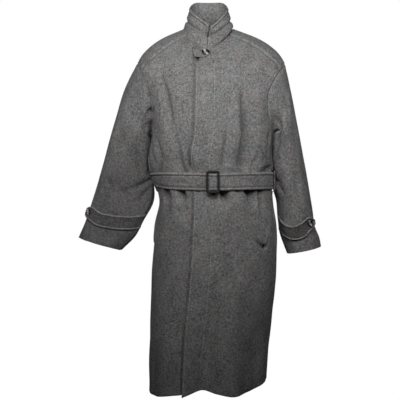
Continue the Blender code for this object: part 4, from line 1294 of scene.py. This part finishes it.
def rounded_outline(half_width, half_height, corner):
    """Points and outward directions round a rectangle with rounded corners."""
    found = []
    for quarter, (sx, sz) in enumerate(((1, 1), (-1, 1), (-1, -1), (1, -1))):
        for step in range(CORNER_STEPS + 1):
            angle = math.pi / 2 * (quarter + step / CORNER_STEPS)
            out = np.array([math.cos(angle), 0.0, math.sin(angle)])
            centre = np.array([sx * (half_width - corner), 0.0, sz * (half_height - corner)])
            found.append((centre + corner * out, out))
    return found


def make_buckle(finish):
    """The covered frame with a soft rounded section, and the bar behind the belt."""
    half_bar = BUCKLE_BAR / 2
    corner = BUCKLE_CORNER - half_bar
    outline = rounded_outline(BUCKLE_WIDTH / 2 - half_bar, BUCKLE_HEIGHT / 2 - half_bar, corner)
    places, outs = (np.array(part)[:, None] for part in zip(*outline))
    middle = np.array([0.0, -BUCKLE_BACK - BUCKLE_THICK / 2, 0.0])
    angles = np.linspace(0, math.tau, SECTION_STEPS, endpoint=False)
    power = 2 / SECTION_SQUARENESS
    wide = np.sign(np.cos(angles)) * np.abs(np.cos(angles)) ** power * half_bar
    thick = np.sign(np.sin(angles)) * np.abs(np.sin(angles)) ** power * BUCKLE_THICK / 2
    section = middle + places + wide[:, None] * outs + np.outer(-thick, (0.0, 1.0, 0.0))
    post = BUCKLE_HEIGHT / 2 - half_bar
    bends = (
        (-BUCKLE_BACK - BAR_HALF, post),
        (-BAR_OUT, post),
        (-BAR_OUT, -post),
        (-BUCKLE_BACK - BAR_HALF, -post),
    )
    bar = []
    for y, z in bends:
        for across, along in ((-1, -1), (1, -1), (1, 1), (-1, 1)):
            depth = y if abs(y) > BAR_OUT else y + along * BAR_HALF
            height = math.copysign(abs(z) - along * BAR_HALF, z)
            bar.append((across * BAR_HALF, depth, height))
    points = np.concatenate([section.reshape(-1, 3), bar])
    frame_index = np.arange(len(outline) * SECTION_STEPS).reshape(-1, SECTION_STEPS)
    bar_index = frame_index.size + np.arange(len(bar)).reshape(len(bends), -1)
    closed = np.concatenate([frame_index, frame_index[:1]])
    ends = [bar_index[0, ::-1], bar_index[-1]]
    faces = np.concatenate([faces_between(closed), faces_between(bar_index), ends])
    levels = BELT - BELT_SAG + np.array([-BELT_HALF, BELT_HALF])
    belt_section = body_section(BELT)
    bar_angle = math.asin((BUCKLE_X - float(belt_section[3])) / float(belt_section[1]))
    low, high = smooth_point(bar_angle - np.radians(body_section(levels)[4]), levels)
    lean = math.atan2(high[1] - low[1], high[2] - low[2])
    turn = np.array(Matrix.Rotation(-lean, 3, "X"))
    made = make_object("covered_buckle", points @ turn.T + (low + high) / 2, faces, finish)
    work = bmesh.new()
    work.from_mesh(made.data)
    bmesh.ops.recalc_face_normals(work, faces=work.faces)
    work.to_mesh(made.data)
    work.free()
    made.data.set_sharp_from_angle(angle=math.radians(BUCKLE_SHARP))
    return made


def to_linear(colour):
    """A colour given as sRGB hex, in the linear values that shaders use."""
    parts = [int(colour[i : i + 2], 16) / 255 for i in (1, 3, 5)]
    return [p / 12.92 if p <= 0.04045 else ((p + 0.055) / 1.055) ** 2.4 for p in parts] + [1.0]


def set_inputs(node, inputs):
    """Set a node's inputs to values or hex colours, or link them to other nodes' outputs."""
    for name, value in inputs.items():
        if isinstance(value, bpy.types.NodeSocket):
            node.id_data.links.new(value, node.inputs[name])
        else:
            node.inputs[name].default_value = to_linear(value) if isinstance(value, str) else value


def add_node(tree, kind, inputs=None, output=0, **settings):
    """Add a node with its settings and links, and give back one of its outputs."""
    made = tree.nodes.new(kind)
    for name, value in settings.items():
        setattr(made, name, value)
    set_inputs(made, inputs or {})
    return made.outputs[output] if made.outputs else None


def new_material(name):
    """A material with an empty Principled shader, and its tree."""
    made = bpy.data.materials.new(name)
    made.use_nodes = True
    return made, made.node_tree, made.node_tree.nodes["Principled BSDF"]


# Herringbone: real stripes are about 10 mm wide with twill lines 2 mm apart; both are drawn
# coarser, because lines under 3 mm would not show at the size of the picture
STRIPE_WIDTH = 0.013
TWILL_LINE = 0.0070
TWILL_SLOPE = 1.6
FLECK_SIZE = 0.0058
SPECK_SIZE = 0.0050
TONE_SIZE = 0.045
TINT_SIZE = 0.040
# Soft patches of the yarn.  What lies between least and most is spread from 0 to share.
# size, detail, roughness, least, most, share
WOOL_PATCHES = {
    "fleck": (FLECK_SIZE, 4.0, 0.85, 0.37, 0.63, 1.0),
    "speck": (SPECK_SIZE, 1.0, 0.5, 0.58, 0.72, 0.35),
    "tint": (TINT_SIZE, 2.0, 0.5, 0.35, 0.65, 1.0),
    "tone": (TONE_SIZE, 3.0, 0.5, 0.0, 1.0, 1.0),
}
# The weave, worked out from the places across and along the cloth
# result, operation, what it works on
WEAVE_STEPS = (
    ("stripe", "MULTIPLY", "across", 1 / STRIPE_WIDTH),
    ("zigzag", "PINGPONG", "stripe", 1.0),
    ("rise", "MULTIPLY", "along", 1 / TWILL_LINE),
    ("line", "MULTIPLY_ADD", "zigzag", TWILL_SLOPE * STRIPE_WIDTH / TWILL_LINE, "rise"),
    ("twill", "PINGPONG", "line", 0.5),
    ("yarn", "MULTIPLY_ADD", "twill", 0.50, "fleck"),
    ("toned", "MULTIPLY_ADD", "tone", 0.60, "yarn"),
    ("speckled", "ADD", "toned", "speck"),
)
# From all dark fibre to all pale fibre, and how high the yarns stand
PALE_FROM = 0.20
PALE_TO = 1.70
YARN_HEIGHT = 0.0009
# dark, warm and cool fibres
WOOL = ("#3a393a", "#aba7a6", "#a5a7a6")
# the same paler, for rolled edges: rubbing, and painted highlight where they catch the light
WOOL_RUBBED_AND_HIGHLIT = ("#474647", "#bcb8b7", "#b6b8b7")
# the same darker, for the middle of a strap: painted shade
WOOL_PAINTED_SHADE_STRAP = ("#282828", "#787473", "#727473")
# A sleeve is darkened as painted shade between these distances from the armhole, up to this share
PAINTED_SHADE_START = 0.22
PAINTED_SHADE_END = 0.44
SLEEVE_PAINTED_SHADE = {"left": 0.14, "right": 0.50}
# and lightened at its head as painted light, where its share of pale fibres is this many times as large
PAINTED_LIGHT_START = 0.03
PAINTED_LIGHT_END = 0.15
SLEEVE_PAINTED_LIGHT = {"left": 1.25, "right": 1.0}


# The two last arguments paint light and shade on a sleeve: the first darkens it towards the cuff as
# painted shade, the second raises its pale fibres at the head as painted light
def woven_wool(name, dark, warm, cool, painted_shade=0.0, fade=1.0):
    """Heavy wool coating, woven in a herringbone and lightly felted.

    Dark and light fibres are mixed in the yarn, so it reads as grey salt and pepper with
    a broken zigzag, quite matt, with a faint halo of fibre where it turns away.  Its copies
    carry painted light and shade: a darker one is painted shade on the middle of a strap,
    a paler one on rolled edges is rubbing and painted highlight, and on a sleeve the pale
    fibres are raised at the head as painted light and lowered towards the cuff as painted shade."""
    made, tree, shader = new_material(name)
    place = add_node(tree, "ShaderNodeTexCoord", output="Object")
    woven = add_node(tree, "ShaderNodeUVMap", uv_map="cloth")
    across = add_node(tree, "ShaderNodeSeparateXYZ", {0: woven}, "X")
    along = across.node.outputs["Y"]
    found = {"across": across, "along": along}
    for part, (size, detail, rough, least, most, share) in WOOL_PATCHES.items():
        patches = add_node(
            tree, "ShaderNodeTexNoise",
            {"Vector": place, "Scale": 1 / size, "Detail": detail, "Roughness": rough},
        )
        found[part] = add_node(
            tree, "ShaderNodeMapRange",
            {"Value": patches, "From Min": least, "From Max": most, "To Max": share},
        )
    for part, operation, *values in WEAVE_STEPS:
        inputs = {i: found.get(value, value) for i, value in enumerate(values)}
        found[part] = add_node(tree, "ShaderNodeMath", inputs, operation=operation)
    pale = add_node(
        tree, "ShaderNodeMapRange",
        {"Value": found["speckled"], "From Min": PALE_FROM, "From Max": PALE_TO},
    )
    # painted light at a sleeve's head, and painted shade from partway down to its cuff
    changes = ((PAINTED_LIGHT_START, PAINTED_LIGHT_END, fade, 1.0), (PAINTED_SHADE_START, PAINTED_SHADE_END, 1.0, 1.0 - painted_shade))
    for start, end, first, last in changes:
        change = add_node(
            tree, "ShaderNodeMapRange",
            {"Value": along, "From Min": start, "From Max": end, "To Min": first, "To Max": last},
        )
        pale = add_node(tree, "ShaderNodeMath", {0: pale, 1: change}, operation="MULTIPLY")
    light = add_node(
        tree, "ShaderNodeMix", {"Factor": found["tint"], 6: warm, 7: cool}, 2, data_type="RGBA"
    )
    colour = add_node(tree, "ShaderNodeMix", {"Factor": pale, 6: dark, 7: light}, 2, data_type="RGBA")
    bump = add_node(
        tree, "ShaderNodeBump", {"Height": found["yarn"], "Strength": 0.5, "Distance": YARN_HEIGHT}
    )
    set_inputs(
        shader,
        {
            "Base Color": colour,
            "Normal": bump,
            "Roughness": 0.95,
            "Specular IOR Level": 0.15,
            "Sheen Weight": 0.12,
            "Sheen Roughness": 0.5,
            "Sheen Tint": "#c9c9cb",
        },
    )
    return made


def sewing_thread(shade, dark, light):
    """Twisted sewing thread of one shade, its strands a little uneven, with a dull gleam."""
    made, tree, shader = new_material(f"polyester_thread_twisted_{shade}")
    place = add_node(tree, "ShaderNodeTexCoord", output="Object")
    twist = add_node(
        tree, "ShaderNodeTexNoise", {"Vector": place, "Scale": 1 / STRAND_SIZE, "Detail": 2.0}
    )
    colour = add_node(tree, "ShaderNodeMix", {"Factor": twist, 6: dark, 7: light}, 2, data_type="RGBA")
    set_inputs(shader, {"Base Color": colour, "Roughness": 0.6})
    return made


# The painted highlight of a button, a pale slanting band: its slant in degrees, the rest in radii
# or shares.  The slant and the stretch also lay out the brown grain.
GRAIN_AND_HIGHLIGHT_SLANT = -58
PAINTED_HIGHLIGHT_SHIFT = -0.22
GRAIN_AND_HIGHLIGHT_STRETCH = 0.25
STREAKS_ACROSS = 3.0
HIGHLIGHT_WAVER = 0.5
HIGHLIGHT_EDGE = 0.30
HIGHLIGHT_CORE = 0.05
# Grain of the thread and of the leather
STRAND_SIZE = 0.0015
PEBBLE_SIZE = 0.0014
PEBBLE_HEIGHT = 0.0003
WAX_SIZE = 0.012


def polished_horn():
    """Dark horn, turned and polished: near black with fine brown streaks, deep under a gloss,
    and a pale slanting band across it that is a painted highlight."""
    made, tree, shader = new_material("horn_turned_and_polished")
    place = add_node(tree, "ShaderNodeUVMap", uv_map="turned")
    slant = add_node(
        tree, "ShaderNodeMapping",
        {
            "Vector": place,
            "Location": (PAINTED_HIGHLIGHT_SHIFT, 0, 0),
            "Rotation": (0, 0, math.radians(GRAIN_AND_HIGHLIGHT_SLANT)),
            "Scale": (1.0, GRAIN_AND_HIGHLIGHT_STRETCH, 1.0),
        },
    )
    streaks = add_node(
        tree, "ShaderNodeTexNoise", {"Vector": slant, "Scale": STREAKS_ACROSS, "Detail": 4.0}
    )
    brown = add_node(
        tree, "ShaderNodeMix", {"Factor": streaks, 6: "#0e0c0b", 7: "#2c2420"}, 2, data_type="RGBA"
    )
    # painted highlight: a pale band across the button that stands in for the lamp's reflection
    across = add_node(tree, "ShaderNodeSeparateXYZ", {0: slant}, "X")
    waver = add_node(
        tree, "ShaderNodeMath", {0: streaks, 1: HIGHLIGHT_WAVER, 2: across}, operation="MULTIPLY_ADD"
    )
    from_highlight = add_node(tree, "ShaderNodeMath", {0: waver}, operation="ABSOLUTE")
    pale = add_node(
        tree, "ShaderNodeMapRange",
        {"Value": from_highlight, "From Min": HIGHLIGHT_EDGE, "From Max": HIGHLIGHT_CORE},
        interpolation_type="SMOOTHSTEP",
    )
    # the pale colour of the painted highlight
    colour = add_node(
        tree, "ShaderNodeMix", {"Factor": pale, 6: brown, 7: "#c9c6c1"}, 2, data_type="RGBA"
    )
    set_inputs(shader, {"Base Color": colour, "Roughness": 0.2, "IOR": 1.55})
    return made


def dark_leather():
    """Smooth calf leather wrapped over a frame: near black, with a fine pebbled grain."""
    made, tree, shader = new_material("calf_leather_wrapped_and_waxed")
    place = add_node(tree, "ShaderNodeTexCoord", output="Object")
    grain = add_node(
        tree, "ShaderNodeTexVoronoi", {"Vector": place, "Scale": 1 / PEBBLE_SIZE},
        feature="DISTANCE_TO_EDGE",
    )
    wear = add_node(tree, "ShaderNodeTexNoise", {"Vector": place, "Scale": 1 / WAX_SIZE, "Detail": 4.0})
    colour = add_node(
        tree, "ShaderNodeMix", {"Factor": wear, 6: "#0a0908", 7: "#1b1714"}, 2, data_type="RGBA"
    )
    rough = add_node(tree, "ShaderNodeMapRange", {"Value": wear, "To Min": 0.44, "To Max": 0.62})
    bump = add_node(
        tree, "ShaderNodeBump", {"Height": grain, "Strength": 0.35, "Distance": PEBBLE_HEIGHT}
    )
    set_inputs(shader, {"Base Color": colour, "Roughness": rough, "Normal": bump})
    return made


def stitch_tree(thread):
    """A tree that lays one stitch after another along every line of a mesh."""
    tree = bpy.data.node_groups.new("run_of_stitches", "GeometryNodeTree")
    face = tree.interface
    face.new_socket("Lines", in_out="INPUT", socket_type="NodeSocketGeometry")
    for name, value in STITCH_INPUTS.items():
        kind = "NodeSocketInt" if isinstance(value, int) else "NodeSocketFloat"
        face.new_socket(name, in_out="INPUT", socket_type=kind).default_value = value
    face.new_socket("Stitches", in_out="OUTPUT", socket_type="NodeSocketGeometry")
    given = add_node(tree, "NodeGroupInput").node.outputs
    curve = add_node(tree, "GeometryNodeMeshToCurve", {"Mesh": given["Lines"]})
    spaced = add_node(
        tree, "GeometryNodeResampleCurve", {"Curve": curve, "Length": given["Pitch"]}, mode="LENGTH"
    )
    tangent = add_node(tree, "GeometryNodeInputTangent")
    turn = add_node(tree, "FunctionNodeAlignRotationToVector", {"Vector": tangent}, axis="X")
    uneven = add_node(
        tree, "FunctionNodeRandomValue",
        {"Min": STITCH_SHORTEST, "Max": STITCH_LONGEST, "Seed": given["Seed"]}, 1, data_type="FLOAT",
    )
    ball = add_node(
        tree, "GeometryNodeMeshUVSphere",
        {"Segments": STITCH_SEGMENTS, "Rings": STITCH_RINGS, "Radius": 0.5},
    )
    length = add_node(tree, "ShaderNodeMath", {0: given["Length"], 1: uneven}, operation="MULTIPLY")
    thick = given["Thickness"]
    scale = add_node(tree, "ShaderNodeCombineXYZ", {"X": length, "Y": thick, "Z": thick})
    laid = add_node(
        tree, "GeometryNodeInstanceOnPoints",
        {"Points": spaced, "Instance": ball, "Rotation": turn, "Scale": scale},
    )
    real = add_node(tree, "GeometryNodeRealizeInstances", {"Geometry": laid})
    smooth = add_node(tree, "GeometryNodeSetShadeSmooth", {"Geometry": real})
    done = add_node(tree, "GeometryNodeSetMaterial", {"Geometry": smooth, "Material": thread})
    add_node(tree, "NodeGroupOutput", {"Stitches": done})
    return tree


def make_stitches(name, lines, thread):
    """Runs of topstitching in one thread as one mesh."""
    edges = []
    start = 0
    for line in lines:
        edges += [(start + i, start + i + 1) for i in range(len(line) - 1)]
        start += len(line)
    mesh = bpy.data.meshes.new("stitch_lines")
    mesh.from_pydata(np.concatenate(lines).tolist(), edges, [])
    made = add_object(name, mesh)
    laying = made.modifiers.new("laying", "NODES")
    laying.node_group = stitch_tree(thread)
    for item in laying.node_group.interface.items_tree:
        if item.in_out == "INPUT" and item.name in STITCH_INPUTS:
            laying[item.identifier] = STITCH_INPUTS[item.name]
    settle(made)
    return made


def hand_over(made, slot, *nodes):
    """Tie a finished piece to the coat's one body, and hide the solids that it stands for."""
    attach(made, "root")
    if nodes:
        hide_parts(*nodes)


def hand_over_cloth(made, held, rests_on, *nodes):
    """Hand over a piece of cloth as any other piece."""
    hand_over(made, "wool", *nodes)


def build_coat():
    """Every piece of the coat, from the back panel to the last stitch."""
    wool = woven_wool("wool_coating_woven_herringbone", *WOOL)
    # paler copy for rolled edges: rubbing and painted highlight
    worn = woven_wool("wool_coating_woven_herringbone_worn_at_edges", *WOOL_RUBBED_AND_HIGHLIT)
    # darker copy for the middle of a strap: painted shade
    strap_middle_painted_shade = woven_wool("wool_coating_woven_herringbone_cut_across_nap", *WOOL_PAINTED_SHADE_STRAP)
    light_thread = sewing_thread("light", "#b4b4b5", "#ececec")
    grey_thread = sewing_thread("grey", "#9c9c9d", "#d2d2d3")
    dark_thread = sewing_thread("dark", "#3a3a3b", "#6a6a6b")
    horn = polished_horn()
    leather = dark_leather()
    edge_lines = []
    fly_lines = []
    band_lines = []
    hand_over_cloth(make_back(wool), "hung", ["left_front_panel", "right_front_panel"], "back")
    for side in SIDE_SIGN:
        front, lines = make_front(side == "left", wool)
        edge_lines += lines[:1]
        fly_lines += lines[1:]
        hand_over_cloth(front, "hung", ["back_panel"], f"front_{side}")
        # each sleeve's wool carries painted light at its head and painted shade towards its cuff
        painted_light_and_shade = woven_wool(
            f"wool_coating_woven_herringbone_handled_{side}", *WOOL, SLEEVE_PAINTED_SHADE[side], SLEEVE_PAINTED_LIGHT[side]
        )
        for part, sleeve in zip(("top", "under"), make_sleeve(side, painted_light_and_shade)):
            hand_over_cloth(sleeve, "hung", ["back_panel"], f"sleeve_{side}_{part}")
        strap, lines, place, facing = make_strap(side, worn, strap_middle_painted_shade)
        band_lines += lines
        hand_over_cloth(strap, "laid", [f"{side}_top_sleeve"], f"cuff_strap_{side}")
        button = make_button(
            f"{side}_strap_button", place, facing, CUFF_BUTTON_RADIUS, horn, dark_thread
        )
        hand_over(button, "horn", f"cuff_button_{side}")
        welt = make_welt(side, wool)
        hand_over_cloth(welt, "laid", [f"{side}_front_panel"], f"pocket_welt_{side}")
        loop = make_loop(side, 2 if side == "left" else 1, wool)
        hand_over_cloth(loop, "stretched", ["cloth_belt"], f"belt_loop_{side}")
    for name, cad_name in (("stand_of_collar", "collar_stand"), ("leaf_of_collar", "collar_leaf")):
        band, lines = make_collar(name, cad_name, wool, worn)
        band_lines += lines
        hand_over_cloth(band, "stretched", ["back_panel"], cad_name)
    tab, lines, place, facing = make_tab(wool)
    band_lines += lines
    hand_over_cloth(tab, "laid", ["right_front_panel"], "throat_tab")
    button = make_button("throat_button", place, facing, NECK_BUTTON_RADIUS, horn, dark_thread)
    hand_over(button, "horn", "neck_button")
    belt, lines = make_belt(wool, worn)
    band_lines += lines
    hand_over_cloth(belt, "stretched", ["back_panel"], "belt")
    hand_over(make_buckle(leather), "leather", "buckle")
    hand_over(make_stitches("edge_topstitching", edge_lines, light_thread), "wool")
    hand_over(make_stitches("fly_topstitching", fly_lines, grey_thread), "wool")
    hand_over(make_stitches("band_topstitching", band_lines, dark_thread), "wool")


def white_floor():
    """A plain white surface that looks evenly white and still catches soft shadow."""
    made, tree, shader = new_material("studio_floor_white")
    seen = add_node(tree, "ShaderNodeLightPath", output="Is Camera Ray")
    set_inputs(
        shader,
        {
            "Base Color": "#2c2c2c",
            "Roughness": 0.9,
            "Emission Color": "#ffffff",
            "Emission Strength": seen,
        },
    )
    return made


def add_light(name, place, target, size, power):
    """A soft oblong light that looks at a place."""
    data = bpy.data.lights.new(name, "AREA")
    data.shape = "RECTANGLE"
    data.size, data.size_y = size
    data.energy = power
    made = add_object(name, data)
    made.location = place
    made.rotation_euler = (Vector(target) - Vector(place)).to_track_quat("-Z", "Y").to_euler()


def set_stage():
    """Floor, soft studio light and the camera."""
    sides = ((-1, -1), (1, -1), (1, 1), (-1, 1))
    corners = [(x * FLOOR_HALF, y * FLOOR_HALF, FLOOR_LEVEL) for x, y in sides]
    mesh = bpy.data.meshes.new("studio_floor")
    mesh.from_pydata(corners, [], [(0, 1, 2, 3)])
    mesh.materials.append(white_floor())
    add_object("studio_floor", mesh)
    for light in LIGHTS:
        add_light(*light)
    world = bpy.data.worlds.new("studio")
    bpy.context.scene.world = world
    world.use_nodes = True
    tree = world.node_tree
    seen = add_node(tree, "ShaderNodeLightPath", output="Is Camera Ray")
    strength = add_node(
        tree, "ShaderNodeMapRange", {"Value": seen, "To Min": STUDIO_GLOW, "To Max": 1.0}
    )
    set_inputs(tree.nodes["Background"], {"Strength": strength, "Color": "#ffffff"})
    data = bpy.data.cameras.new("camera")
    data.sensor_width = SENSOR
    data.lens = SENSOR * -CAMERA_PLACE[1] / FRAME_WIDTH
    camera = add_object("camera", data)
    camera.location = CAMERA_PLACE
    camera.rotation_euler = (math.pi / 2, 0, 0)
    bpy.context.scene.camera = camera
    bpy.context.scene.view_settings.view_transform = "Standard"


build_coat()
set_stage()
